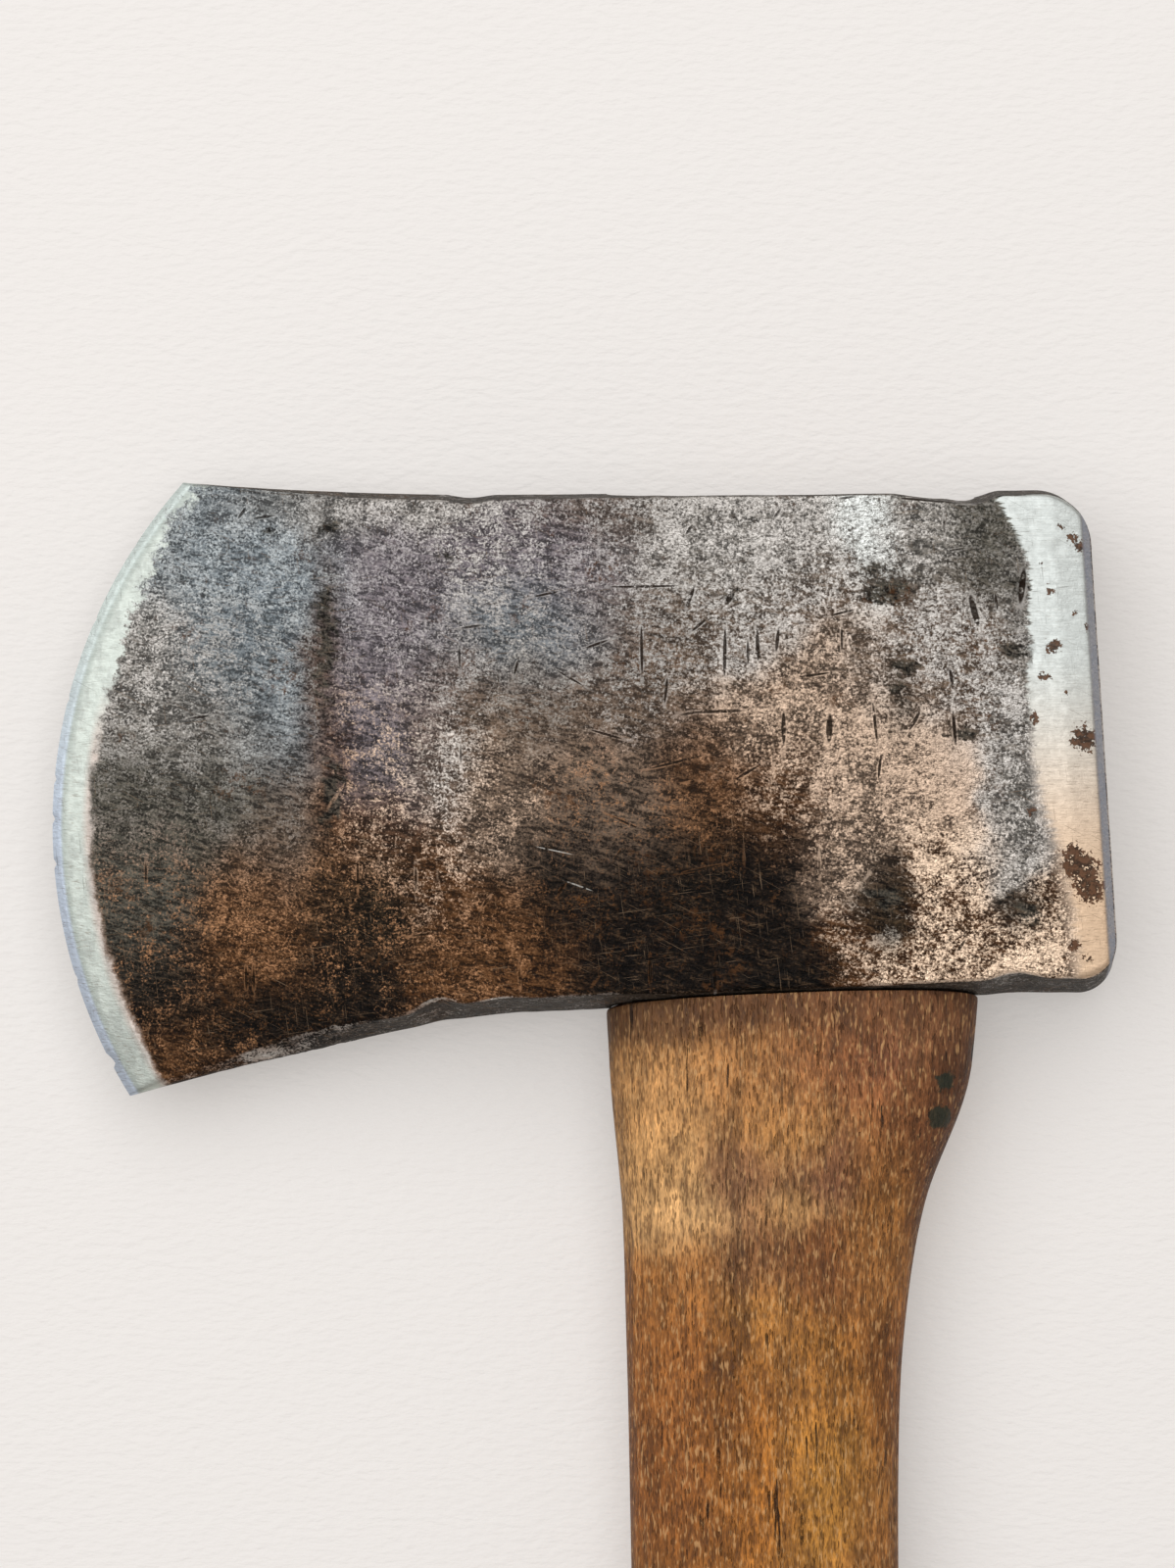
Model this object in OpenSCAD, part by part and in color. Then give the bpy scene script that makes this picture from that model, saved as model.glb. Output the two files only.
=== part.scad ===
// Hatchet: a drop-forged head hung on a hickory handle, lying flat on one cheek.
// Millimetres. +X points to the poll, +Y to the top of the head, and the handle runs to -Y.
// The origin is under the middle of the eye, on the plane that the cheek rests on.

/* [Head] */
// Toe to poll, measured along the top
head_l = 119.2; // [105:0.1:135]
// Height of the head from its top to its underside, at the middle of the eye
head_h = 68.2; // [58:0.1:78]
// Thickness of the head across the eye and poll
head_t = 23; // [21.5:0.5:28]
// Top corner of the poll, behind the middle of the eye
poll_back = 38.6; // [34:0.1:46]
// How far the poll leans out from its top to its foot
poll_lean = 4.4; // [0:0.1:7]
// Radius of the poll's top and bottom corners
poll_corner_r = 5; // [2.6:0.1:8]

/* [Blade] */
// Straight distance across the cutting edge, toe to heel
bit_chord = 81.2; // [76:0.1:95]
// Radius of the cutting edge's curve
bit_r = 68; // [56:0.5:110]
// How far the heel lies in front of the toe
bit_lean = 7.4; // [0:0.1:12]
// Rise of the toe over the top of the eye
toe_rise = 1; // [0:0.1:4]
// Width of the ground band along the cutting edge
grind_w = 5.2; // [3:0.1:9]
// Thickness of the blade where the ground band starts
grind_t = 3.2; // [2.4:0.1:5]
// Width of the honed bevel at the very edge
hone_w = 1.1; // [0.6:0.1:2]
// Thickness of the blade where the honed bevel starts
hone_t = 1.3; // [0.9:0.1:2]
// Thickness left at the cutting edge
edge_t = 0.4; // [0.2:0.05:0.8]
// Where the cheeks start to thin, in front of the middle of the eye
shoulder_x = 26; // [24:0.5:32]

/* [Forging] */
// Hollow of the top edge between toe and poll
top_hollow = 0.6; // [0:0.1:2]
// Where that hollow is deepest, in front of the middle of the eye
hollow_front = 37; // [28:0.5:50]
// Where the top edge is level again, behind the middle of the eye
hollow_back = 10; // [0:0.5:25]
// Slope of the underside, in mm of rise over 100 mm towards the poll
foot_slope = 3.7; // [0:0.1:6]
// Where the beard starts to drop, in front of the middle of the eye
beard_x = 33; // [26:0.5:50]
// Radius of the beard's curve
beard_r = 100; // [70:1:150]
// Steepest slope of the beard, in mm of drop over 100 mm
beard_slope = 20; // [12:1:36]
// Draft on the top of the head, from the parting line to the cheek
draft_top = 0.9; // [0.4:0.1:2]
// Draft on the underside, from the parting line to the cheek
draft_foot = 2.2; // [0.8:0.1:3.5]
// Width of the ground bevel on the cheeks beside the poll, at the top
bevel_top_w = 13; // [8:0.1:16]
// The same at the foot of the poll
bevel_foot_w = 6.8; // [5:0.1:12]
// Depth of that bevel where it meets the poll's chamfer
bevel_drop = 0.7; // [0.2:0.05:1.5]
// Chamfer between the bevel and the poll's flat face
poll_chamfer = 1.2; // [0.6:0.1:1.4]

/* [Eye] */
// Length of the eye at its foot, along the cheek
eye_l = 45; // [40:0.1:47]
// Width of the eye at its foot, across the cheeks
eye_w = 14.6; // [12:0.1:16]
// How much longer and wider the eye is at the top of the head
eye_taper = 2; // [0.5:0.1:3]
// Clearance between the pieces hung in the eye
fit_gap = 0.1; // [0.05:0.05:0.3]

/* [Handle] */
// Whole length from the top of the head to the end of the knob
hatchet_l = 356; // [300:1:420]
// How far the shoulder stands out past each end of the eye
shoulder_lip = 2.1; // [1:0.1:4]
// How far the shoulder stands out past each side of the eye
shoulder_cheek = 3; // [1:0.1:3.4]
// Width of the neck, the slimmest stretch
neck_w = 35.9; // [30:0.1:42]
// Thickness of the neck
neck_t = 19.8; // [16:0.1:21.4]
// How far the neck's middle lies in front of the eye's
neck_front = 3.7; // [0:0.1:6]
// Underside of the head to the neck
neck_drop = 62; // [50:1:80]
// End of the knob up to the grip's belly
belly_up = 122; // [105:1:130]
// Width of the grip at its belly
grip_w = 36.6; // [30:0.1:42]
// Thickness of the grip
grip_t = 21.6; // [18:0.1:23]
// How far the belly's middle lies in front of the eye's
grip_front = 1.3; // [-4:0.1:6]
// Length over which the knob flares out
knob_flare = 38; // [28:1:46]
// Width of the knob at the end
knob_w = 47; // [40:0.1:54]
// Thickness of the knob
knob_t = 22.8; // [19:0.1:23]
// How far the knob's middle lies in front of the eye's
knob_front = 10.6; // [2:0.1:14]
// Slant of the knob's end across its width
knob_slant = 7; // [0:0.5:12]

/* [Wedges] */
// Depth of the saw kerf below the top of the tongue
kerf_depth = 46; // [36:1:52]
// Width of the kerf at the top, once the wedge has spread it
kerf_top_w = 5.2; // [3:0.1:6]
// Width of the kerf at its foot
kerf_foot_w = 1.4; // [0.8:0.1:2]
// Room left under the wooden wedge
wedge_room = 4; // [2:0.5:8]
// How far the tongue and its wedges lie below the top of the eye
tongue_inset = 2.4; // [0.4:0.1:3]
// Width of each steel wedge, across the wooden one
steel_w = 12; // [8:0.5:13]
// Thickness of each steel wedge at its head
steel_t = 2.4; // [1.6:0.1:3]
// Length of each steel wedge
steel_l = 20; // [14:0.5:26]
// Distance between the two steel wedges
steel_pitch = 20; // [14:0.5:26]

/* [Hidden] */

bright_steel = "#a9aea9";
forged_steel = "#5d5a57";
hickory = "#a9744a";
maple = "#c19a6b";

// Cells across the head from top to foot, and across the thinning cheek
rows = 16;
cheek_cells = 9;
// How steeply the cheek's thinning ends at the eye; 0 would blend it smoothly into the flat
shoulder_ease = 0.6;
// The draft is full where the blade is at least this share of the head's thickness
full_draft = 0.36;
// Points round an oval, and how boxy the eye and the handle are (2 is a plain ellipse)
oval_points = 32;
eye_boxiness = 2.35;
grip_boxiness = 2.3;
// Length of each of the handle's rings, and of the small rings that round the knob's end
ring_l = 8;
knob_round = 3.2;
far = 40;

mid_z = head_t / 2;
top_y = head_h / 2;
tongue_top = top_y - tongue_inset;
shoulder_y = -head_h / 2;

// ---- The head's outline ----

// The cutting edge is one arc through the toe and the heel
toe = [poll_back - head_l, top_y + toe_rise];
chord_drop = sqrt(bit_chord * bit_chord - bit_lean * bit_lean);
chord_mid = toe - [bit_lean, chord_drop] / 2;
arc_depth = sqrt(bit_r * bit_r - bit_chord * bit_chord / 4);
bit_centre = chord_mid + arc_depth * [chord_drop, -bit_lean] / bit_chord;

function cutting_edge_x(y) = bit_centre.x - sqrt(bit_r * bit_r - pow(y - bit_centre.y, 2));
function poll_x(y) = poll_back + poll_lean * (top_y - y) / head_h;
function bevel_x(y) =
    let (down = (top_y - y) / head_h)
    poll_x(y) - bevel_top_w * (1 - down) - bevel_foot_w * down;

// How far a round corner cuts into the outline near the poll
function corner_cut(x, y) =
    let (in = x - poll_x(y) + poll_corner_r)
    in <= 0 ? 0 : poll_corner_r - sqrt(max(0, pow(poll_corner_r, 2) - in * in));

// How far the top edge lies under the level of the poll's top; the toe rises over it
function top_dip(x) =
    let (behind = x + hollow_front)
    behind < 0
        ? top_hollow - (toe_rise + top_hollow) * pow(behind / (toe.x + hollow_front), 2)
        : top_hollow * max(0, 1 - behind / (hollow_front + hollow_back));

function top_edge(x, y) = top_y - top_dip(x) - corner_cut(x, y);

function beard_drop(ahead) =
    let (curve = beard_r * beard_slope / 100)
    ahead <= 0 ? 0
        : ahead < curve ? ahead * ahead / (2 * beard_r)
        : curve * curve / (2 * beard_r) + (ahead - curve) * beard_slope / 100;

function foot_edge(x, y) =
    shoulder_y + x * foot_slope / 100 - beard_drop(-beard_x - x) + corner_cut(x, y);

// ---- The head's solid ----

// Lines across the head from the cutting edge to the poll, each [kind, position, half thickness].
// An EDGE or POLL line lies that far inside the cutting edge or the poll, and a CHEEK line lies
// that share of the way from the ground band to the full thickness. The last line lies beyond the
// poll, whose flat face is then one straight cut.

EDGE = 0;
CHEEK = 1;
FLAT = 2;
POLL = 3;

function eased(s) = s * s * (3 - shoulder_ease - (2 - shoulder_ease) * s);
function bevel_half(back) =
    mid_z - bevel_drop * (1 - max(0, back - poll_chamfer) / (bevel_foot_w - poll_chamfer));

lines = concat(
    [[EDGE, 0, edge_t / 2], [EDGE, hone_w, hone_t / 2], [EDGE, grind_w, grind_t / 2]],
    [for (i = [1 : cheek_cells])
        let (s = i / cheek_cells) [CHEEK, s, grind_t / 2 + (mid_z - grind_t / 2) * eased(s)]],
    [[FLAT, 0, mid_z]],
    [for (back = [poll_corner_r, 0.55 * poll_corner_r, poll_chamfer, 0.4 * poll_chamfer,
                  0.1 * poll_chamfer, -poll_chamfer])
        [POLL, back, bevel_half(back) - max(0, poll_chamfer - back)]]
);

// Where line k crosses the height y
function line_x(k, y) =
    let (kind = lines[k][0], at = lines[k][1], edge = cutting_edge_x(y))
    kind == EDGE ? edge + at
        : kind == CHEEK ? (edge + grind_w) * (1 - at) - shoulder_x * at
        : kind == FLAT ? bevel_x(y)
        : poll_x(y) - at;

// The ends of line k on the outline, found by stepping from a first guess
function top_end(k, y, steps = 5) =
    steps == 0 ? y : top_end(k, top_edge(line_x(k, y), y), steps - 1);
function foot_end(k, y, steps = 7) =
    steps == 0 ? y : foot_end(k, foot_edge(line_x(k, y), y), steps - 1);

// The parting line is the outline; the cheek is drawn in from it by the draft
function column(k, side) =
    let (
        y0 = top_end(k, top_y),
        y1 = foot_end(k, shoulder_y),
        half = lines[k][2],
        share = min(1, half / (full_draft * mid_z)),
        a = y0 - draft_top * share,
        b = y1 + draft_foot * share
    )
    [for (j = [0 : rows])
        let (y = a + (b - a) * j / rows) [line_x(k, y), y, mid_z + side * half]];

function parting_point(k, y) = [line_x(k, y), y, mid_z];

module head_solid() {
    last = len(lines) - 1;
    ring = 2 * rows + 4;
    // Ring k runs down the upper cheek, round the foot, up the lower cheek and over the top
    points = [for (k = [0 : last]) each concat(
        column(k, 1),
        [parting_point(k, foot_end(k, shoulder_y))],
        [for (j = [rows : -1 : 0]) column(k, -1)[j]],
        [parting_point(k, top_end(k, top_y))]
    )];
    skin = [for (k = [0 : last - 1], j = [0 : ring - 1])
        let (a = k * ring + j, b = k * ring + (j + 1) % ring) each
        [[a, b + ring, b], [a, a + ring, b + ring]]];
    caps = [for (k = [0, last]) let (base = k * ring, flip = k == last)
        each [for (j = [0 : rows - 1])
            let (a = base + j, b = base + 2 * rows + 2 - j)
            each [turned([a, a + 1, b - 1], flip), turned([a, b - 1, b], flip)]]];
    tips = [for (k = [0, last]) let (base = k * ring, flip = k == last)
        each [
            turned([base + rows, base + rows + 1, base + rows + 2], flip),
            turned([base, base + 2 * rows + 2, base + 2 * rows + 3], flip)
        ]];
    polyhedron(points, concat(skin, caps, tips), convexity = 6);
}

function turned(face, flip) = flip ? [face[0], face[2], face[1]] : face;

module beyond_poll() {
    translate([poll_back, top_y, mid_z])
        rotate([0, 0, atan(poll_lean / head_h)])
            translate([0, -3 * far, -far]) cube([far, 4 * far, 2 * far]);
}

// ---- Ovals and lofts ----

// Point n of an oval l long and w wide
function oval_point(n, l, w, boxiness) =
    let (angle = 360 * (n + 0.5) / oval_points, c = cos(angle), s = sin(angle), power = 2 / boxiness)
    [sign(c) * pow(abs(c), power) * l / 2, sign(s) * pow(abs(s), power) * w / 2];

// A skin through rings of oval_points each, in order from the first end to the last
module loft(rings) {
    count = len(rings);
    first = [for (n = [0 : oval_points - 1]) n];
    last = [for (n = [oval_points - 1 : -1 : 0]) (count - 1) * oval_points + n];
    skin = [for (k = [0 : count - 2], n = [0 : oval_points - 1])
        let (a = k * oval_points + n, b = k * oval_points + (n + 1) % oval_points) each
        [[a, b + oval_points, b], [a, a + oval_points, b + oval_points]]];
    polyhedron([for (ring = rings) each ring], concat([first, last], skin), convexity = 4);
}

// The eye's tapered oval from y = low to y = high, drawn in by gap all round
module eye_plug(low, high, gap) {
    loft([for (y = [high, low])
        let (grow = eye_taper * (y - shoulder_y) / head_h - 2 * gap)
        [for (n = [0 : oval_points - 1])
            let (p = oval_point(n, eye_l + grow, eye_w + grow, eye_boxiness)) [p.x, y, mid_z + p.y]]]);
}

// ---- The handle ----

shoulder_w = eye_l + 2 * shoulder_lip;
shoulder_t = eye_w + 2 * shoulder_cheek;
handle_l = hatchet_l - head_h - knob_slant / 2;
// The handle is lofted from above the drafted, sloping underside, which then cuts it off
above_shoulder = draft_foot + foot_slope / 100 * shoulder_w / 2;

// Stations down the handle: [distance below the head, middle, width, thickness, slant of the ring]
stations = [
    [-above_shoulder, 0, shoulder_w - 0.6, shoulder_t - 0.6, 0],
    [3, 0, shoulder_w, shoulder_t, 0],
    [12, -0.5, shoulder_w - 2, shoulder_t + 0.2, 0],
    [neck_drop * 0.42, -neck_front * 0.67, shoulder_w * 0.35 + neck_w * 0.65, shoulder_t - 0.4, 0],
    [neck_drop * 0.7, -neck_front * 0.96, neck_w + 1.2, neck_t + 0.2, 0],
    [neck_drop, -neck_front, neck_w, neck_t, 0],
    [neck_drop + 30, -neck_front + 0.4, neck_w - 0.2, neck_t, 0],
    [handle_l - belly_up, -grip_front, grip_w, grip_t, 0],
    [handle_l - knob_flare - 30, -grip_front - 2.4, grip_w - 2, grip_t - 0.6, 0],
    [handle_l - knob_flare, -knob_front + 3.6, knob_w - 9, knob_t - 1.4, knob_slant * 0.4],
    [handle_l - knob_flare * 0.4, -knob_front + 0.2, knob_w - 0.6, knob_t, knob_slant * 0.9],
    [handle_l - knob_round, -knob_front + 0.2, knob_w - 1.6, knob_t - 0.8, knob_slant]
];

// The slope of column c at station i, from its neighbours
function slope(c, i) =
    let (a = stations[max(0, i - 1)], b = stations[min(len(stations) - 1, i + 1)])
    (b[c] - a[c]) / (b[0] - a[0]);

function station_before(s, i = 0) =
    i >= len(stations) - 2 || stations[i + 1][0] > s ? i : station_before(s, i + 1);

// Column c at the distance s, on a smooth curve through the stations
function along(c, s) =
    let (
        i = station_before(s),
        p = stations[i],
        q = stations[i + 1],
        span = q[0] - p[0],
        t = (s - p[0]) / span
    )
    p[c] * (1 + 2 * t) * pow(1 - t, 2) + q[c] * t * t * (3 - 2 * t)
        + span * (slope(c, i) * t * pow(1 - t, 2) - slope(c, i + 1) * t * t * (1 - t));

// A ring at the distance s, drawn in by inset all round
function handle_ring(s, inset = 0, beyond = 0) =
    let (
        middle = along(1, s),
        w = along(2, s) - 2 * inset,
        t = along(3, s) - 2 * inset,
        slant = along(4, s)
    )
    [for (n = [0 : oval_points - 1])
        let (p = oval_point(n, w, t, grip_boxiness))
        [middle + p.x, shoulder_y - s - beyond + slant * p.x / knob_w, mid_z + p.y]];

first_s = stations[0][0];
last_s = handle_l - knob_round;
ring_count = ceil((last_s - first_s) / ring_l);

module handle_body() {
    loft(concat(
        [for (i = [0 : ring_count]) handle_ring(first_s + (last_s - first_s) * i / ring_count)],
        [for (angle = [30, 60, 84])
            handle_ring(last_s, knob_round * (1 - cos(angle)), knob_round * sin(angle))]
    ));
}

// The space over the head's underside: two drafted faces that meet at the parting line
module over_underside(gap) {
    rise = draft_foot / mid_z;
    translate([0, shoulder_y - gap, mid_z])
        rotate([0, 0, atan(foot_slope / 100)])
            rotate([0, 90, 0])
                linear_extrude(height = 3 * far, center = true)
                    polygon([
                        [-far, far * rise], [0, 0], [far, far * rise],
                        [far, 2 * far], [-far, 2 * far],
                    ]);
}

// ---- Kerf and wedges ----

// The wooden wedge's profile, thinner by gap on each side, from the top down to depth
module kerf_plate(depth, gap) {
    foot_w = kerf_top_w + (kerf_foot_w - kerf_top_w) * depth / kerf_depth;
    translate([0, tongue_top, mid_z])
        rotate([0, 90, 0])
            linear_extrude(height = 2 * far, center = true)
                polygon([
                    [-kerf_top_w / 2 + gap, 0], [kerf_top_w / 2 - gap, 0],
                    [foot_w / 2 - gap, -depth], [-foot_w / 2 + gap, -depth]
                ]);
}

// A stepped steel wedge across the kerf at x, grown by gap on every side but its head
module steel_blade(x, gap) {
    step = steel_l / 4;
    half = steel_t / 2;
    flank = [
        [half, 0], [half * 0.86, -step], [half, -step], [half * 0.62, -2 * step],
        [half * 0.8, -2 * step], [half * 0.4, -3 * step], [half * 0.56, -3 * step],
        [half * 0.16, -steel_l]
    ];
    grown = [for (p = flank) [p.x + gap, p.y]];
    translate([x, tongue_top, mid_z])
        linear_extrude(height = steel_w + 2 * gap, center = true)
            polygon(concat(grown, [for (i = [len(grown) - 1 : -1 : 0]) [-grown[i].x, grown[i].y]]));
}

module steel_pockets() {
    for (x = [-steel_pitch / 2, steel_pitch / 2]) steel_blade(x, fit_gap);
}

// ---- Sub-parts ----

module head() {
    color(forged_steel)
        difference() {
            head_solid();
            eye_plug(shoulder_y - far / 4, top_y + far / 4, 0);
            beyond_poll();
        }
}

module handle() {
    color(hickory)
        difference() {
            union() {
                difference() {
                    handle_body();
                    over_underside(fit_gap);
                }
                eye_plug(shoulder_y - 10, tongue_top, fit_gap);
            }
            kerf_plate(kerf_depth, 0);
            steel_pockets();
        }
}

module wooden_wedge() {
    color(maple)
        difference() {
            intersection() {
                eye_plug(shoulder_y, tongue_top, fit_gap);
                kerf_plate(kerf_depth - wedge_room, fit_gap / 2);
            }
            steel_pockets();
        }
}

module steel_wedge(x) {
    color(bright_steel) steel_blade(x, 0);
}

module steel_wedge_front() {
    steel_wedge(-steel_pitch / 2);
}

module steel_wedge_rear() {
    steel_wedge(steel_pitch / 2);
}

head();
handle();
wooden_wedge();
steel_wedge_front();
steel_wedge_rear();
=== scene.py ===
"""A used hatchet, lying on one cheek on a pale floor and seen from straight above.

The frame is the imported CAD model's: +X to the poll, +Y to the top of the head, the handle along -Y
and +Z up, with the origin under the middle of the eye. Sizes here are in millimetres and become
metres where a mesh, lamp or camera is made.
"""
import math
import bmesh
import bpy
import numpy as np
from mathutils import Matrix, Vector


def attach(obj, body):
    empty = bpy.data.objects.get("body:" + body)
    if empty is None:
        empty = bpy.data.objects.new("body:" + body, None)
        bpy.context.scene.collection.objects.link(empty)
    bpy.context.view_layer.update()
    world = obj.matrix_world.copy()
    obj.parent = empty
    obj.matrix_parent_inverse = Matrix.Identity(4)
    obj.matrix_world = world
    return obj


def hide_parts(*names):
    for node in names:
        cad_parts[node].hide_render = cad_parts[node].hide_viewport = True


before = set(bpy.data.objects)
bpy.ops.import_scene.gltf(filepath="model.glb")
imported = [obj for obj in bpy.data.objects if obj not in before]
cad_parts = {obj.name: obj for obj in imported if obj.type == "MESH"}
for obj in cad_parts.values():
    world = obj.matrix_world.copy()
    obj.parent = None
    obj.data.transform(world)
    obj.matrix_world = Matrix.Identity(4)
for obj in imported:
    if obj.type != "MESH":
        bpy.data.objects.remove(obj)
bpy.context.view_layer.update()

MM = 0.001
ROOT = "root"

# ---- Sizes that the looks share with the CAD model ----

HEAD_L = 119.2
HEAD_H = 68.2
HEAD_T = 23.0
POLL_BACK = 38.6
POLL_LEAN = 4.4
POLL_CORNER_R = 5.0
BIT_CHORD = 81.2
BIT_R = 68.0
BIT_LEAN = 7.4
TOE_RISE = 1.0
GRIND_W = 5.2
HONE_W = 1.1
# Half the head's thickness at the cutting edge, at the end of the hone and at the end of the grind
EDGE_HALF = 0.2
HONE_HALF = 0.65
GRIND_HALF = 1.6
SHOULDER_X = 26.0
TOP_HOLLOW = 0.6
HOLLOW_FRONT = 37.0
HOLLOW_BACK = 10.0
FOOT_SLOPE = 0.037
BEARD_X = 33.0
BEARD_R = 100.0
BEARD_SLOPE = 0.2
DRAFT_TOP = 0.9
DRAFT_FOOT = 2.2
BEVEL_TOP_W = 13.0
BEVEL_FOOT_W = 6.8
BEVEL_DROP = 0.7
POLL_CHAMFER = 1.2
FULL_DRAFT = 0.36
SHOULDER_EASE = 0.6
EYE_L = 45.0
EYE_W = 14.6
EYE_TAPER = 2.0
EYE_BOXINESS = 2.35
FIT_GAP = 0.1
HATCHET_L = 356.0
SHOULDER_LIP = 2.1
SHOULDER_CHEEK = 3.0
NECK_W = 35.9
NECK_T = 19.8
NECK_FRONT = 3.7
NECK_DROP = 62.0
BELLY_UP = 122.0
GRIP_W = 36.6
GRIP_T = 21.6
GRIP_FRONT = 1.3
GRIP_BOXINESS = 2.3
KNOB_FLARE = 38.0
KNOB_W = 47.0
KNOB_T = 22.8
KNOB_FRONT = 10.6
KNOB_SLANT = 7.0
KNOB_ROUND = 3.2
KERF_DEPTH = 46.0
KERF_TOP_W = 5.2
KERF_FOOT_W = 1.4
TONGUE_INSET = 2.4
STEEL_W = 12.0
STEEL_T = 2.4
STEEL_L = 20.0
STEEL_PITCH = 20.0

MID_Z = HEAD_T / 2
TOP_Y = HEAD_H / 2
SHOULDER_Y = -HEAD_H / 2
TONGUE_TOP = TOP_Y - TONGUE_INSET
# The poll's top corner is worn rounder than the CAD model's
WORN_CORNER_R = 6.4


# ---- Small tools ----

def smooth_step(value, low, high):
    part = np.clip((value - low) / (high - low), 0, 1)
    return part * part * (3 - 2 * part)


def grain(points, size, seed):
    """Smooth random values from -1 to 1 that change over about size millimetres."""
    cells = 24
    lattice = np.random.default_rng(seed).uniform(-1, 1, (cells,) * 3)
    at = points / np.asarray(size, float) + 500
    cell = np.floor(at).astype(int)
    part = at - cell
    part = part * part * (3 - 2 * part)
    total = np.zeros(len(points))
    for corner in np.ndindex(2, 2, 2):
        share = np.prod(np.where(corner, part, 1 - part), axis=1)
        index = (cell + corner) % cells
        total += share * lattice[index[:, 0], index[:, 1], index[:, 2]]
    return total


def layered_grain(points, size, seed, layers=4, fall=0.55):
    size = np.asarray(size, float)
    strengths = [fall**i for i in range(layers)]
    total = sum(s * grain(points, size / 2**i, seed + i) for i, s in enumerate(strengths))
    return total / sum(strengths)


def grain_along(x, size, seed, layers, fall=0.55):
    """Layered grain that changes along X only."""
    line = np.stack([x, np.zeros_like(x), np.zeros_like(x)], axis=-1).reshape(-1, 3)
    return layered_grain(line, size, seed, layers, fall).reshape(x.shape)


def toward(start, end, share):
    """Each point's start value, moved towards the end by its share."""
    share = share[:, None] if np.ndim(start) > 1 else share
    return start + (end - start) * share


def oval_share(x, y, spot):
    """How far inside a turned oval each point lies: 1 at its middle, 0 at its rim and outside."""
    at_x, at_y, length, width, turn = spot
    angle = math.radians(turn)
    dx, dy = x - at_x, y - at_y
    along = dx * math.cos(angle) + dy * math.sin(angle)
    across = dy * math.cos(angle) - dx * math.sin(angle)
    return np.clip(1 - (2 * along / length) ** 2 - (2 * across / width) ** 2, 0, 1)


def in_spots(x, y, spots):
    """How far inside the nearest of some turned ovals each point lies."""
    return np.max([oval_share(x, y, spot) for spot in spots], axis=0)


def srgb(code):
    """A colour as written, such as "#8a6b4c", as the linear numbers that Blender takes."""
    parts = [int(code[i:i + 2], 16) / 255 for i in (1, 3, 5)]
    return [p / 12.92 if p <= 0.04045 else ((p + 0.055) / 1.055) ** 2.4 for p in parts]


def make_object(name, points, faces, sharp_angle=40):
    mesh = bpy.data.meshes.new(name)
    mesh.from_pydata((np.asarray(points) * MM).tolist(), [], faces)
    mesh.update()
    mesh.shade_smooth()
    mesh.set_sharp_from_angle(angle=math.radians(sharp_angle))
    made = bpy.data.objects.new(name, mesh)
    bpy.context.scene.collection.objects.link(made)
    return made


def cut_away(piece, *cutters):
    """Cuts each closed cutter out of a closed piece, then removes the cutter."""
    for cutter in cutters:
        cut = piece.modifiers.new("cut", "BOOLEAN")
        cut.operation = "DIFFERENCE"
        cut.solver = "MANIFOLD"
        cut.object = cutter
        cut_mesh = bpy.data.meshes.new_from_object(
            piece.evaluated_get(bpy.context.evaluated_depsgraph_get()))
        piece.modifiers.clear()
        piece.data = cut_mesh
        bpy.data.objects.remove(cutter)
    piece.data.name = piece.name


def ring_faces(rings, around):
    """Quads between neighbouring rings of that many points each."""
    return [
        (k * around + i, k * around + (i + 1) % around,
         (k + 1) * around + (i + 1) % around, (k + 1) * around + i)
        for k in range(rings - 1) for i in range(around)
    ]


def points_of(piece):
    """A piece's points in millimetres and its normals there."""
    count = len(piece.data.vertices)
    points = np.empty(count * 3, np.float32)
    normals = np.empty(count * 3, np.float32)
    piece.data.vertices.foreach_get("co", points)
    piece.data.vertex_normals.foreach_get("vector", normals)
    return points.reshape(-1, 3).astype(float) / MM, normals.reshape(-1, 3).astype(float)


def store(piece, name, values):
    """Stores four numbers for each point, which a material reads by that name."""
    layer = piece.data.attributes.new(name, "FLOAT_COLOR", "POINT")
    layer.data.foreach_set("color", np.asarray(values, np.float32).ravel())


# ---- The head's outline, by the CAD model's own formulas ----

TOE = np.array([POLL_BACK - HEAD_L, TOP_Y + TOE_RISE])
CHORD_DROP = math.sqrt(BIT_CHORD**2 - BIT_LEAN**2)
ARC_DEPTH = math.sqrt(BIT_R**2 - BIT_CHORD**2 / 4)
BIT_CENTRE = (TOE - np.array([BIT_LEAN, CHORD_DROP]) / 2
              + ARC_DEPTH * np.array([CHORD_DROP, -BIT_LEAN]) / BIT_CHORD)


def cutting_edge_x(y):
    return BIT_CENTRE[0] - np.sqrt(BIT_R**2 - (y - BIT_CENTRE[1]) ** 2)


def poll_x(y):
    return POLL_BACK + POLL_LEAN * (TOP_Y - y) / HEAD_H


def bevel_x(y):
    down = (TOP_Y - y) / HEAD_H
    return poll_x(y) - BEVEL_TOP_W * (1 - down) - BEVEL_FOOT_W * down


def corner_cut(x, y, radius):
    past = np.clip(x - poll_x(y) + radius, 0, radius)
    return radius - np.sqrt(radius**2 - past**2)


def top_edge(x, y):
    behind = x + HOLLOW_FRONT
    front = TOP_HOLLOW - (TOE_RISE + TOP_HOLLOW) * (behind / (TOE[0] + HOLLOW_FRONT)) ** 2
    back = TOP_HOLLOW * np.maximum(0, 1 - behind / (HOLLOW_FRONT + HOLLOW_BACK))
    return TOP_Y - np.where(behind < 0, front, back) - corner_cut(x, y, WORN_CORNER_R)


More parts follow.
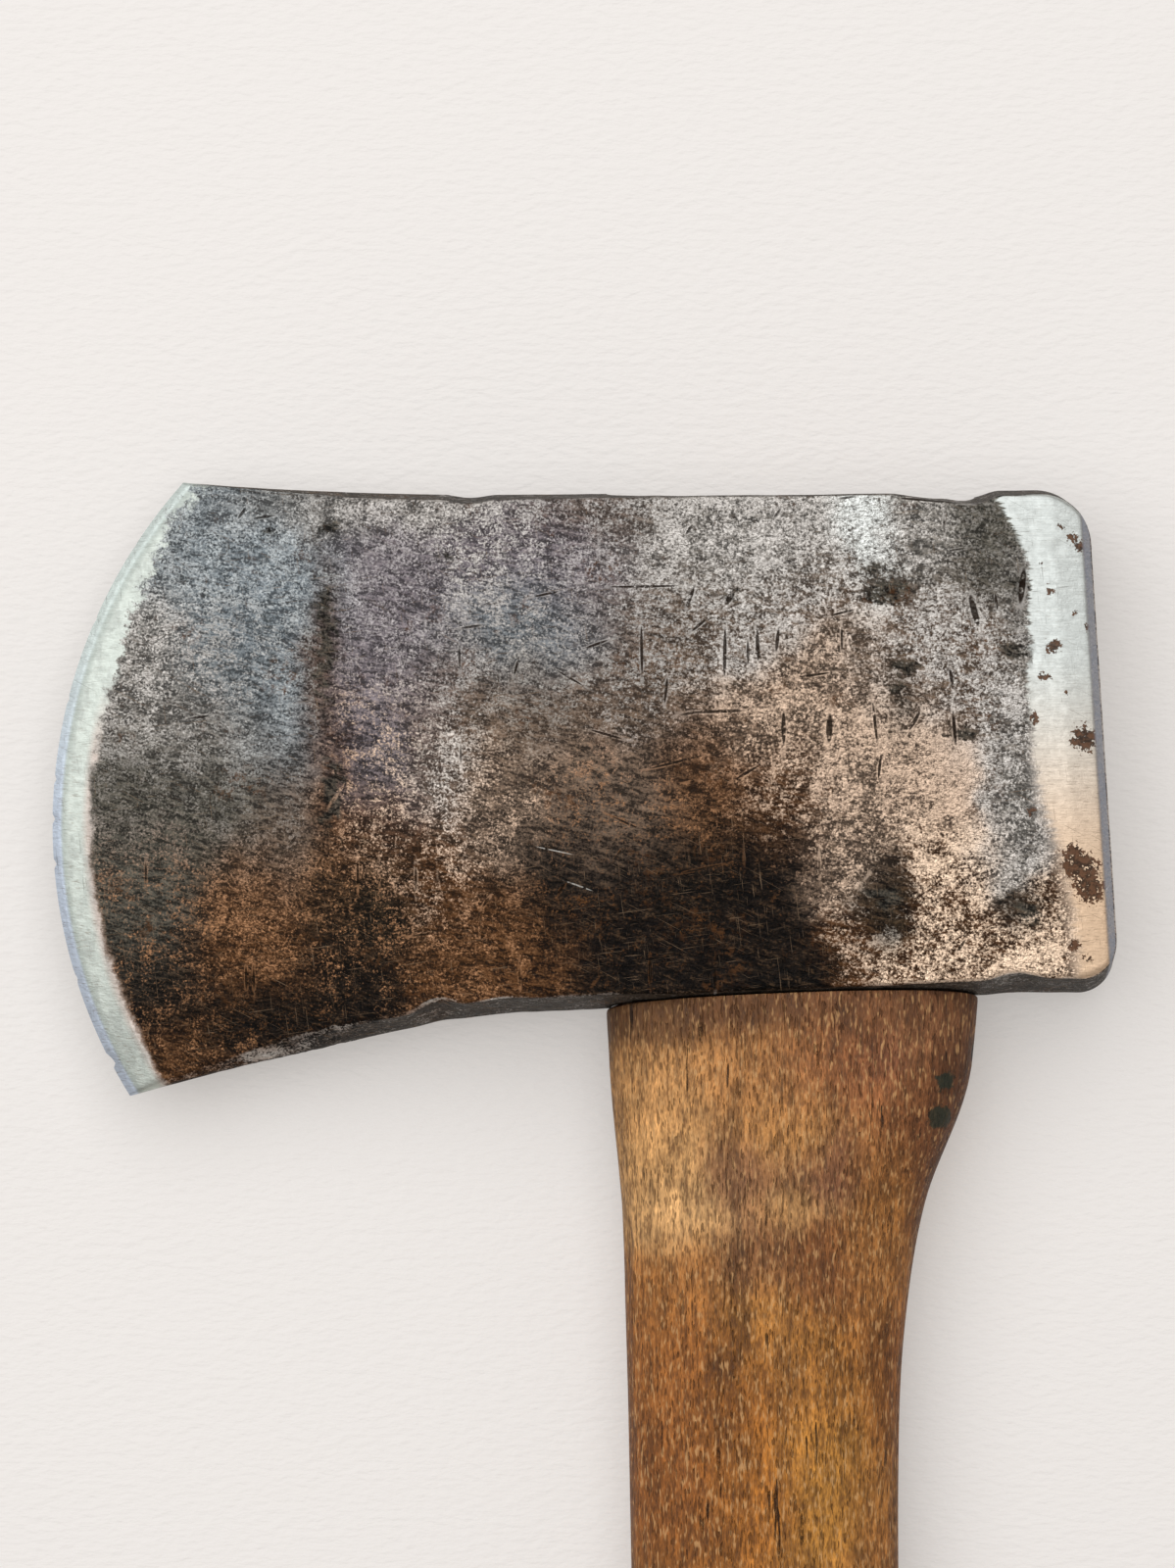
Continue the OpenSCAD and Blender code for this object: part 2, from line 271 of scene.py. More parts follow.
def foot_edge(x, y):
    ahead = np.maximum(0, -BEARD_X - x)
    curve = BEARD_R * BEARD_SLOPE
    near = np.minimum(ahead, curve) ** 2 / (2 * BEARD_R)
    return (SHOULDER_Y + x * FOOT_SLOPE - near - np.maximum(0, ahead - curve) * BEARD_SLOPE
            + corner_cut(x, y, POLL_CORNER_R))


def draft_share(half):
    return np.minimum(1, half / (FULL_DRAFT * MID_Z))


# ---- Wear on the head: where the forging is dented, chipped and worn ----

# Dents in the upper cheek, each [x, y, length, width, turn in degrees], then its depth
CHEEK_DENTS = [
    ((29.9, 21.1, 5.8, 1.7, 83), 0.55), ((23.4, 17.8, 5.2, 2.0, 105), 0.45),
    ((26.2, 19.0, 3.0, 1.4, 97), 0.22), ((21.8, 1.4, 6.6, 3.0, 92), 0.34),
    ((0.2, 12.6, 2.4, 2.2, 0), 0.24), ((-8.4, 19.4, 3.2, 1.6, 65), 0.34),
    ((-46.0, 25.0, 3.4, 1.6, 10), 0.26), ((11.0, 5.6, 5.2, 1.4, 100), 0.20),
    ((16.4, -1.6, 3.8, 3.0, 20), 0.22), ((-38.0, 13.0, 7.0, 5.0, 30), 0.14),
    ((-55.0, 2.0, 9.0, 6.0, 70), 0.13), ((-70.0, 12.0, 8.0, 5.0, 110), 0.12),
    ((31.4, 11.8, 3.6, 1.0, 88), 0.30), ((37.0, -16.6, 2.6, 5.6, 0), 0.14),
    ((34.6, 26.0, 2.6, 2.0, 30), 0.20),
]
# Where the top edge has sunk, each [x, length along the edge, depth]
TOP_DIPS = [(19.6, 15.0, 0.6), (23.4, 8.4, 0.6), (-42.5, 7.0, 0.35)]
# Chips along the lower cheek edge, each [x, length, depth, how jagged from 0 to 1]
FOOT_CHIPS = [
    (-66, 30, 0.9, 1.0), (-46.6, 8.0, 1.2, 0.0), (-38.0, 8.0, 0.3, 0.6), (29.5, 10.0, 1.0, 0.2),
]
# Nicks in the cutting edge, each [y, length, depth]
EDGE_NICKS = [
    (-9.6, 0.8, 0.35), (-4.2, 0.6, 0.25), (-15.6, 0.9, 0.4), (-30.4, 1.0, 0.35), (6.4, 0.7, 0.2),
    (17.0, 0.8, 0.2), (-41.6, 1.6, 0.7), (27.0, 0.8, 0.2),
]


def hump(value, middle, length):
    """A smooth hump of height 1 at the middle, nothing past half the length from it."""
    inside = np.clip(1 - (2 * (value - middle) / length) ** 2, 0, 1)
    return inside * inside


def top_wear(x):
    rough = 0.06 + 0.06 * grain_along(x, 9, 11, 3)
    return rough + sum(depth * hump(x, at, length) for at, length, depth in TOP_DIPS)


def foot_chips(x):
    """How far the lower cheek edge has broken away."""
    jagged = 0.5 + grain_along(x, 2.6, 57, 4, 0.7)
    broken = 0.0
    for at, length, depth, share in FOOT_CHIPS:
        broken = broken + depth * hump(x, at, length) * (1 - share + share * np.clip(jagged, 0, 1.4))
    return broken


def foot_wear(x):
    rough = 0.16 + 0.16 * grain_along(x, 8, 23, 3)
    return rough * smooth_step(x, TOE[0] - 6, TOE[0] + 10)


def random_dents(count, seed):
    """Small dents strewn over a cheek, as [spot, depth]."""
    draw = np.random.default_rng(seed)
    return [
        ((draw.uniform(-90, 38), draw.uniform(-44, 34), draw.uniform(0.9, 3.6), draw.uniform(0.7, 1.7),
          draw.uniform(0, 180)), draw.uniform(0.04, 0.16))
        for _ in range(count)
    ]


def cheek_sinkage(points, upper):
    """How far each point of a cheek has sunk under the smooth forging."""
    x, y = points[:, 0], points[:, 1]
    seed = 40 if upper else 70
    wavy = 0.10 + 0.10 * layered_grain(points, 17, seed, 3)
    hammered = 0.035 + 0.035 * layered_grain(points, 3.2, seed + 5, 3)
    scaled = np.clip(layered_grain(points, (2.4, 1.5, 2), seed + 9, 2) - 0.1, 0, 1)
    rough_share = 0.3 + 0.7 * smooth_step(-y + 0.1 * x, -4, 20) * smooth_step(-x, -14, 6)
    sunk = wavy + hammered + 0.13 * scaled * rough_share
    dents = random_dents(150, seed) + (CHEEK_DENTS if upper else [])
    for spot, depth in dents:
        sunk = sunk + depth * oval_share(x, y, spot) ** 1.5
    return sunk


# ---- The head's mesh ----

def head_lines():
    """Lines across the head from the cutting edge to the poll. Each is the shares of the cutting
    edge's, bevel's and poll's x, a distance to add, and the half thickness there."""
    lines = []
    for at in [0, 0.35, 0.7, 1.1, 1.6, 2.1, 2.6, 3.1, 3.6, 4.1, 4.6, 5.0]:
        half = np.interp(at, [0, HONE_W, GRIND_W], [EDGE_HALF, HONE_HALF, GRIND_HALF])
        lines.append((1, 0, 0, at, half))
    cheek_count = 118
    for i in range(cheek_count + 1):
        s = i / cheek_count
        eased = s * s * (3 - SHOULDER_EASE - (2 - SHOULDER_EASE) * s)
        half = GRIND_HALF + (MID_Z - GRIND_HALF) * eased
        lines.append((1 - s, 0, 0, GRIND_W * (1 - s) - SHOULDER_X * s, half))
    flat_count = 92
    for i in range(1, flat_count + 1):
        t = i / flat_count
        lines.append((0, t, 0, -SHOULDER_X * (1 - t), MID_Z))
    bevel_count = 14
    foot_drop = BEVEL_FOOT_W - POLL_CHAMFER
    corner_half = MID_Z - BEVEL_DROP * (1 - (POLL_CORNER_R - POLL_CHAMFER) / foot_drop)
    for i in range(1, bevel_count):
        t = i / bevel_count
        lines.append((0, 1 - t, t, -POLL_CORNER_R * t, MID_Z + (corner_half - MID_Z) * t))
    turn_count = 16
    for i in range(turn_count + 1):
        back = POLL_CORNER_R * (1 - math.sin(math.pi / 2 * i / turn_count))
        half = MID_Z - BEVEL_DROP * (1 - max(0, back - POLL_CHAMFER) / foot_drop)
        into = max(0, POLL_CHAMFER - back)
        lines.append((0, 0, 1, -back, half - 0.7 * into - 0.3 * into**2 / POLL_CHAMFER))
    return np.array(lines)


def line_x(lines, y):
    edge, bevel, poll, more = lines.T[:4]
    return edge * cutting_edge_x(y) + bevel * bevel_x(y) + poll * poll_x(y) + more


def ring_steps():
    """Shares of the way down a cheek: closer together beside the two edges."""
    near = [0, 0.25, 0.55, 0.95]
    rows = 118
    margin = 1.4 / HEAD_H
    inner = margin + (1 - 2 * margin) * np.arange(rows + 1) / rows
    edge = np.array(near) / HEAD_H
    return np.concatenate([edge, inner, 1 - edge[::-1]])


SIDE_STEPS = np.array([0.03, 0.08, 0.15, 0.26, 0.42, 0.6, 0.8])


def head_ring(y_top, y_foot, half, dip, lift):
    """Half a ring round the head in (y, z): over the top from the parting line, down the upper
    cheek and under the foot to the parting line, with its corners worn round."""
    share = draft_share(half)
    upper_top = y_top - DRAFT_TOP * share
    upper_foot = y_foot + DRAFT_FOOT * share
    corners = np.array([
        [y_top - 0.15 * dip, 0], [upper_top - dip, half],
        [upper_foot + lift, half], [y_foot + 0.2 * lift, 0]])
    steps = np.linalg.norm(np.diff(corners, axis=0), axis=1)
    ends = np.concatenate([[0], np.cumsum(steps)])
    side = np.concatenate([[0], SIDE_STEPS[::-1] * -1 + 1])
    at = np.concatenate([
        ends[0] + steps[0] * side,
        ends[1] + steps[1] * ring_steps(),
        ends[2] + steps[2] * np.concatenate([SIDE_STEPS, [1]])])
    blunt = min(0.8, 0.5 * half)
    # A mean over a short stretch of the outline rounds its corners and keeps its straights
    taps = np.array([-1, -0.5, 0, 0.5, 1]) * blunt
    weights = np.array([1, 2, 3, 2, 1]) / 9
    path_y = np.concatenate([[corners[1][0]], corners[:, 0], [corners[2][0]]])
    path_z = np.concatenate([[-half], corners[:, 1], [-half]])
    path_at = np.concatenate([[-steps[0]], ends, [ends[3] + steps[2]]])
    spread = at[:, None] + taps[None, :]
    ring_y = np.interp(spread, path_at, path_y) @ weights
    ring_z = np.interp(spread, path_at, path_z) @ weights
    ring_z[[0, -1]] = 0
    return ring_y, ring_z


def head_grid():
    """The head's skin as rings from the cutting edge to the poll, before its dents."""
    lines = head_lines()
    y_top = np.full(len(lines), TOP_Y)
    y_foot = np.full(len(lines), SHOULDER_Y)
    # Each edge's height depends on x and x on the height, so both are found again until they settle
    for _ in range(12):
        y_top = top_edge(line_x(lines, y_top), y_top)
        y_foot = foot_edge(line_x(lines, y_foot), y_foot)
    x_top = line_x(lines, y_top)
    x_foot = line_x(lines, y_foot)
    y_top = y_top - top_wear(x_top) * smooth_step(-x_top, -POLL_BACK + 1, -POLL_BACK + 9)
    y_foot = y_foot + foot_wear(x_foot)
    lip = sum(0.5 * depth * hump(x_top, at, length) for at, length, depth in TOP_DIPS)
    chip = foot_chips(x_foot)
    grid = []
    for k, line in enumerate(lines):
        share = draft_share(line[4])
        ring_y, ring_z = head_ring(y_top[k], y_foot[k], line[4], lip[k] * share, chip[k] * share)
        ring_x = line_x(line, ring_y)
        if line[0] == 1:
            nick = sum(depth * hump(ring_y, at, length) for at, length, depth in EDGE_NICKS)
            ring_x = ring_x + nick * max(0, 1 - line[3] / 1.2)
        upper = np.stack([ring_x, ring_y, MID_Z + ring_z], axis=1)
        lower = np.stack([ring_x, ring_y, MID_Z - ring_z], axis=1)[-2:0:-1]
        grid.append(np.concatenate([upper, lower]))
    return np.array(grid)


def grid_normals(grid):
    around = np.roll(grid, -1, axis=1) - np.roll(grid, 1, axis=1)
    along = np.gradient(grid, axis=0)
    normals = np.cross(around, along)
    return normals / np.maximum(1e-9, np.linalg.norm(normals, axis=2, keepdims=True))


def dent_head(grid):
    """Pushes the skin in by its dents, less where the blade is thin."""
    normals = grid_normals(grid)
    points = grid.reshape(-1, 3)
    flat_normals = normals.reshape(-1, 3)
    half = np.abs(points[:, 2] - MID_Z)
    upper = points[:, 2] >= MID_Z
    sunk = np.where(upper, cheek_sinkage(points, True), cheek_sinkage(points, False))
    edge_gap = points[:, 0] - cutting_edge_x(points[:, 1])
    poll_gap = poll_x(points[:, 1]) - points[:, 0]
    keep_thin = smooth_step(edge_gap, 3.5, 13) * (0.35 + 0.65 * smooth_step(poll_gap, 1, 9))
    side = 1 - np.abs(flat_normals[:, 2])
    forged = (0.11 + 0.11 * layered_grain(points, 5, 91, 4)) * smooth_step(side, 0.2, 0.8)
    sunk = np.where(side > 0.5, forged, sunk) * keep_thin * smooth_step(half, -0.5, 2)
    moved = points - flat_normals * sunk[:, None]
    return moved.reshape(grid.shape)


def poll_face(grid, first_index):
    """The flat of the poll between the last ring's two halves: its points and faces."""
    ring = grid[-1]
    around = len(ring)
    half_count = around // 2
    columns = 30
    base = (len(grid) - 1) * around
    points = []
    index = {}
    for i in range(1, half_count):
        start, end = ring[i], ring[around - i]
        index[i, 0] = base + i
        index[i, columns] = base + around - i
        for m in range(1, columns):
            point = start + (end - start) * m / columns
            index[i, m] = first_index + len(points)
            points.append(point)
    points = np.array(points)
    rim = np.minimum(MID_Z - np.abs(points[:, 2] - MID_Z), 6) / 6
    beaten = 0.16 + 0.16 * layered_grain(points, 6, 131, 3) + 0.05 * layered_grain(points, 1.6, 140, 2)
    draw = np.random.default_rng(17)
    for _ in range(26):
        spot = (draw.uniform(-30, 30), draw.uniform(3, 20), draw.uniform(1.5, 6), draw.uniform(1.2, 4),
                draw.uniform(0, 180))
        beaten = beaten + draw.uniform(0.05, 0.22) * oval_share(points[:, 1], points[:, 2], spot)
    points[:, 0] -= beaten * smooth_step(rim, 0.1, 0.6)
    faces = []
    for m in range(columns):
        faces.append((base, index[1, m], index[1, m + 1]))
        faces.append((base + half_count, index[half_count - 1, m + 1], index[half_count - 1, m]))
        for i in range(1, half_count - 1):
            faces.append((index[i, m], index[i + 1, m], index[i + 1, m + 1], index[i, m + 1]))
    return points, faces


def edge_face(around):
    """The narrow flat that is left at the cutting edge, between the first ring's two halves."""
    half_count = around // 2
    faces = [(0, around - 1, 1), (half_count, half_count - 1, half_count + 1)]
    for i in range(1, half_count - 1):
        faces.append((i, around - i, around - i - 1, i + 1))
    return faces


def oval(count, length, width, boxiness):
    angles = 2 * np.pi * (np.arange(count) + 0.5) / count
    power = 2 / boxiness
    across = np.sign(np.cos(angles)) * np.abs(np.cos(angles)) ** power * length / 2
    up = np.sign(np.sin(angles)) * np.abs(np.sin(angles)) ** power * width / 2
    return across, up


def eye_cutter():
    """The eye's tapered oval, flared a little where it leaves the head so that its rims are soft."""
    around = 96
    # Each [height, how much wider than the eye on each side]
    stations = [
        (-60, 4), (-40, 4), (-34.6, 1.6), (-33.6, 0.9), (-32.4, 0.4), (-31, 0.15), (-29, 0), (0, 0),
        (29.5, 0), (31.4, 0.12), (32.4, 0.35), (33.1, 0.7), (33.6, 1.2), (34.4, 2.2), (60, 4),
    ]
    points = []
    for y, flare in reversed(stations):
        inside = min(max(y, SHOULDER_Y), TOP_Y)
        grow = EYE_TAPER * (inside - SHOULDER_Y) / HEAD_H + 2 * flare
        across, up = oval(around, EYE_L + grow, EYE_W + grow, EYE_BOXINESS)
        points += [(a, y, MID_Z + u) for a, u in zip(across, up)]
    faces = ring_faces(len(stations), around)
    faces.append(tuple(range(around)))
    faces.append(tuple(len(points) - 1 - i for i in range(around)))
    cutter = make_object("eye_cutter", points, faces)
    fix_winding(cutter)
    return cutter


def make_head():
    grid = dent_head(head_grid())
    rings, around, _ = grid.shape
    points, faces = poll_face(grid, rings * around)
    skin = ring_faces(rings, around)
    piece = make_object("forged_head", np.concatenate([grid.reshape(-1, 3), points]),
                        skin + faces + edge_face(around))
    cut_away(piece, eye_cutter())
    return piece


# ---- The handle's mesh ----

SHOULDER_W = EYE_L + 2 * SHOULDER_LIP
SHOULDER_T = EYE_W + 2 * SHOULDER_CHEEK
HANDLE_L = HATCHET_L - HEAD_H - KNOB_SLANT / 2
ABOVE_SHOULDER = DRAFT_FOOT + FOOT_SLOPE * SHOULDER_W / 2
LAST_S = HANDLE_L - KNOB_ROUND

# Down the handle: distance below the head, middle, width, thickness, slant of the ring
STATIONS = np.array([
    (-ABOVE_SHOULDER, 0, SHOULDER_W - 0.6, SHOULDER_T - 0.6, 0),
    (3, 0, SHOULDER_W, SHOULDER_T, 0),
    (12, -0.5, SHOULDER_W - 2, SHOULDER_T + 0.2, 0),
    (NECK_DROP * 0.42, -NECK_FRONT * 0.67, SHOULDER_W * 0.35 + NECK_W * 0.65, SHOULDER_T - 0.4, 0),
    (NECK_DROP * 0.7, -NECK_FRONT * 0.96, NECK_W + 1.2, NECK_T + 0.2, 0),
    (NECK_DROP, -NECK_FRONT, NECK_W, NECK_T, 0),
    (NECK_DROP + 30, -NECK_FRONT + 0.4, NECK_W - 0.2, NECK_T, 0),
    (HANDLE_L - BELLY_UP, -GRIP_FRONT, GRIP_W, GRIP_T, 0),
    (HANDLE_L - KNOB_FLARE - 30, -GRIP_FRONT - 2.4, GRIP_W - 2, GRIP_T - 0.6, 0),
    (HANDLE_L - KNOB_FLARE, -KNOB_FRONT + 3.6, KNOB_W - 9, KNOB_T - 1.4, KNOB_SLANT * 0.4),
    (HANDLE_L - KNOB_FLARE * 0.4, -KNOB_FRONT + 0.2, KNOB_W - 0.6, KNOB_T, KNOB_SLANT * 0.9),
    (LAST_S, -KNOB_FRONT + 0.2, KNOB_W - 1.6, KNOB_T - 0.8, KNOB_SLANT),
])


def along_handle(s):
    """Middle, width, thickness and slant at s, on a smooth curve through the stations."""
    last = len(STATIONS) - 1
    i = int(np.clip(np.searchsorted(STATIONS[:, 0], s, side="right") - 1, 0, last - 1))

    def slope(j):
        a, b = STATIONS[max(0, j - 1)], STATIONS[min(last, j + 1)]
        return (b - a) / (b[0] - a[0])

    p, q = STATIONS[i], STATIONS[i + 1]
    span = q[0] - p[0]
    t = (s - p[0]) / span
    value = (p * (1 + 2 * t) * (1 - t) ** 2 + q * t * t * (3 - 2 * t)
             + span * (slope(i) * t * (1 - t) ** 2 - slope(i + 1) * t * t * (1 - t)))
    return value[1:]


HANDLE_AROUND = 160
# Dents in the handle's upper side, each [x, y, length, width, turn], then its depth
HANDLE_DENTS = [
    ((-17, -58, 9, 1.2, 91), 0.30), ((-15.6, -47, 7, 0.9, 88), 0.26), ((-12, -66, 12, 0.8, 90), 0.22),
    ((-6, -52, 8, 0.8, 90), 0.18), ((3, -80, 9, 5, 30), 0.20), ((-2, -73, 7, 4, 120), 0.16),
    ((12, -61, 6, 4, 60), 0.16), ((-4, -96, 8, 3, 80), 0.16), ((-14, -120, 12, 5, 80), 0.18),
    ((5, -141, 9, 5, 110), 0.20), ((-8, -170, 10, 4, 85), 0.18), ((2, -205, 8, 5, 60), 0.20),
    ((-9, -236, 11, 4, 95), 0.20), ((-4, -268, 9, 6, 70), 0.22), ((-16, -300, 8, 5, 40), 0.28),
    ((-2, -309, 7, 4, 140), 0.25),
]


def handle_ring(s, inset=0.0, beyond=0.0):
    middle, width, thick, slant = along_handle(s)
    across, up = oval(HANDLE_AROUND, width - 2 * inset, thick - 2 * inset, GRIP_BOXINESS)
    y = SHOULDER_Y - s - beyond + slant * across / KNOB_W
    return np.stack([middle + across, y, MID_Z + up], axis=1)


def underside_y(x, z):
    """Height of the head's drafted underside, less the clearance."""
    return SHOULDER_Y - FIT_GAP + x * FOOT_SLOPE + np.abs(z - MID_Z) * DRAFT_FOOT / MID_Z


def handle_rings():
    """Rings from the middle of the knob's end, up the handle and the shoulder, to the tongue's top."""
    rings = []
    end = handle_ring(LAST_S, KNOB_ROUND * 0.9, KNOB_ROUND)
    centre = end.mean(axis=0)
    for share in (0.12, 0.3, 0.48, 0.64, 0.78, 0.89, 0.96):
        rings.append(centre + (end - centre) * share)
    for angle in (84, 70, 55, 40, 25, 12):
        turn = math.radians(angle)
        rings.append(handle_ring(LAST_S, KNOB_ROUND * (1 - math.cos(turn)), KNOB_ROUND * math.sin(turn)))
    body_count = 236
    for i in range(body_count + 1):
        s = LAST_S * (1 - i / body_count)
        ring = handle_ring(s)
        # The last stretch bends each ring until the first one follows the head's underside
        bend = smooth_step(np.array(s), 9, 0)
        top = underside_y(ring[:, 0], ring[:, 2])
        ring[:, 1] += bend * (top - (SHOULDER_Y - s))
        rings.append(ring)
    rim = rings[-1]
    for inset in (0.25, 0.6, 1.1, 1.8):
        across, up = rim[:, 0], rim[:, 2] - MID_Z
        x = across * (1 - inset / (SHOULDER_W / 2))
        z = MID_Z + up * (1 - inset / (SHOULDER_T / 2))
        rings.append(np.stack([x, underside_y(x, z) - 0.25 * max(0, 0.8 - inset), z], axis=1))
    tongue_count = 16
    for i in range(tongue_count + 1):
        share = i / tongue_count
        grow = EYE_TAPER * share * (TONGUE_TOP - SHOULDER_Y) / HEAD_H - 2 * FIT_GAP
        across, up = oval(HANDLE_AROUND, EYE_L + grow, EYE_W + grow, EYE_BOXINESS)
        foot = underside_y(across, MID_Z + up)
        y = foot * (1 - share) + (TONGUE_TOP - 0.25 * (i == tongue_count)) * share
        rings.append(np.stack([across, y, MID_Z + up], axis=1))
    crown = rings[-1]
    centre = np.array([0, TONGUE_TOP, MID_Z])
    for share in (0.985, 0.95, 0.88, 0.78, 0.64, 0.48, 0.3, 0.12):
        ring = centre + (crown - centre) * share
        ring[:, 1] = TONGUE_TOP
        rings.append(ring)
    return np.array(rings)


def carve_handle(grid):
    """Sinks the wood by its dents, its open grain and the flats that a scraper left."""
    normals = -grid_normals(grid)
    points = grid.reshape(-1, 3)
    flat_normals = normals.reshape(-1, 3)
    x, y, z = points.T
    scraped = 0.13 + 0.13 * layered_grain(points, (9, 46, 9), 210, 2)
    open_grain = np.clip(layered_grain(points, (0.9, 13, 0.9), 220, 2), 0, 1) * 0.16
    sunk = scraped + open_grain
    upper = smooth_step(z, MID_Z, MID_Z + 5)
    lower = 1 - upper
    for spot, depth in HANDLE_DENTS:
        at_x, at_y, length, width, turn = spot
        other = (-8 - at_x, at_y - 11, length, width, 180 - turn)
        sunk = sunk + depth * (upper * oval_share(x, y, spot) + lower * oval_share(x, y, other))
    on_end = smooth_step(np.abs(flat_normals[:, 1]), 0.75, 0.95)
    sawn = 0.08 + 0.08 * layered_grain(points, (0.8, 2, 0.8), 240, 3)
    sunk = sunk * (1 - on_end) + sawn * on_end
    shoulder = smooth_step(y, SHOULDER_Y - 7, SHOULDER_Y - 1)
    sunk = sunk * (1 - 0.75 * shoulder)
    sunk = np.where((y > SHOULDER_Y + 3) & (y < TONGUE_TOP - 1), 0, sunk)
    return (points - flat_normals * sunk[:, None]).reshape(grid.shape)


def plate(name, outline, low, high, axis):
    """A closed prism over an outline, along X or along Z."""
    count = len(outline)
    ends = []
    for at in (low, high):
        for a, b in outline:
            ends.append((at, b, a) if axis == "X" else (a, b, at))
    faces = [(i, (i + 1) % count, count + (i + 1) % count, count + i) for i in range(count)]
    faces += [tuple(reversed(range(count))), tuple(range(count, 2 * count))]
    piece = make_object(name, ends, faces)
    fix_winding(piece)
    return piece


def fix_winding(piece):
    """Turns every face outward."""
    work = bmesh.new()
    work.from_mesh(piece.data)
    bmesh.ops.recalc_face_normals(work, faces=work.faces)
    work.to_mesh(piece.data)
    work.free()


def steel_flank():
    """Half the outline of a stepped steel wedge: [half thickness, depth]."""
    half, step = STEEL_T / 2, STEEL_L / 4
    shares = [(1, 0), (0.86, 1), (1, 1), (0.62, 2), (0.8, 2), (0.4, 3), (0.56, 3), (0.16, 4)]
    return [(half * a, step * b) for a, b in shares]


def steel_outline(x, gap):
    right = [(x + a + gap, TONGUE_TOP - b) for a, b in steel_flank()]
    left = [(x - a - gap, TONGUE_TOP - b) for a, b in reversed(steel_flank())]
    above = 2.0 if gap else 0.0
    return [(right[0][0], TONGUE_TOP + above), *right, *left, (left[-1][0], TONGUE_TOP + above)]


def make_handle():
    grid = carve_handle(handle_rings())
    rings, around, _ = grid.shape
    points = grid.reshape(-1, 3)
    knob_middle = grid[0].mean(axis=0)
    tongue_middle = grid[-1].mean(axis=0)
    count = len(points)
    faces = [tuple(reversed(f)) for f in ring_faces(rings, around)]
    faces += [(count, (i + 1) % around, i) for i in range(around)]
    last = (rings - 1) * around
    faces += [(count + 1, last + i, last + (i + 1) % around) for i in range(around)]
    piece = make_object("hickory_handle", np.concatenate([points, [knob_middle, tongue_middle]]), faces)
    fix_winding(piece)
    kerf = [(MID_Z - KERF_TOP_W / 2, TONGUE_TOP + 3), (MID_Z + KERF_TOP_W / 2, TONGUE_TOP + 3),
            (MID_Z + KERF_TOP_W / 2, TONGUE_TOP), (MID_Z + KERF_FOOT_W / 2, TONGUE_TOP - KERF_DEPTH),
            (MID_Z - KERF_FOOT_W / 2, TONGUE_TOP - KERF_DEPTH), (MID_Z - KERF_TOP_W / 2, TONGUE_TOP)]
    cutters = [plate("kerf_cutter", kerf, -40, 40, "X")]
    half_w = STEEL_W / 2 + FIT_GAP
    for side in (-1, 1):
        outline = steel_outline(side * STEEL_PITCH / 2, FIT_GAP)
        cutters.append(plate("pocket_cutter", outline, MID_Z - half_w, MID_Z + half_w, "Z"))
    cut_away(piece, *cutters)
    return piece


# ---- Colour that the surfaces carry: soft patches, set one by one ----

# Oxides
BLACK = "#130d08"
SOOT = "#241d13"
DUSK = "#4a4840"
BROWN = "#4a301a"
UMBER = "#625346"
GREY = "#6e6b65"
SLATE = "#6c7478"
STEEL_BLUE = "#6e777c"
VIOLET = "#686266"
# Steel with a little oxide left on it, then bare steel
ASH = "#989590"
COOL = "#949a9b"
DULL = "#918c8c"
SILVER = "#b4b0aa"
PALE = "#ccd0cc"
WARM = "#bea690"
CREAM = "#ddc4aa"
COPPER = "#8b6648"

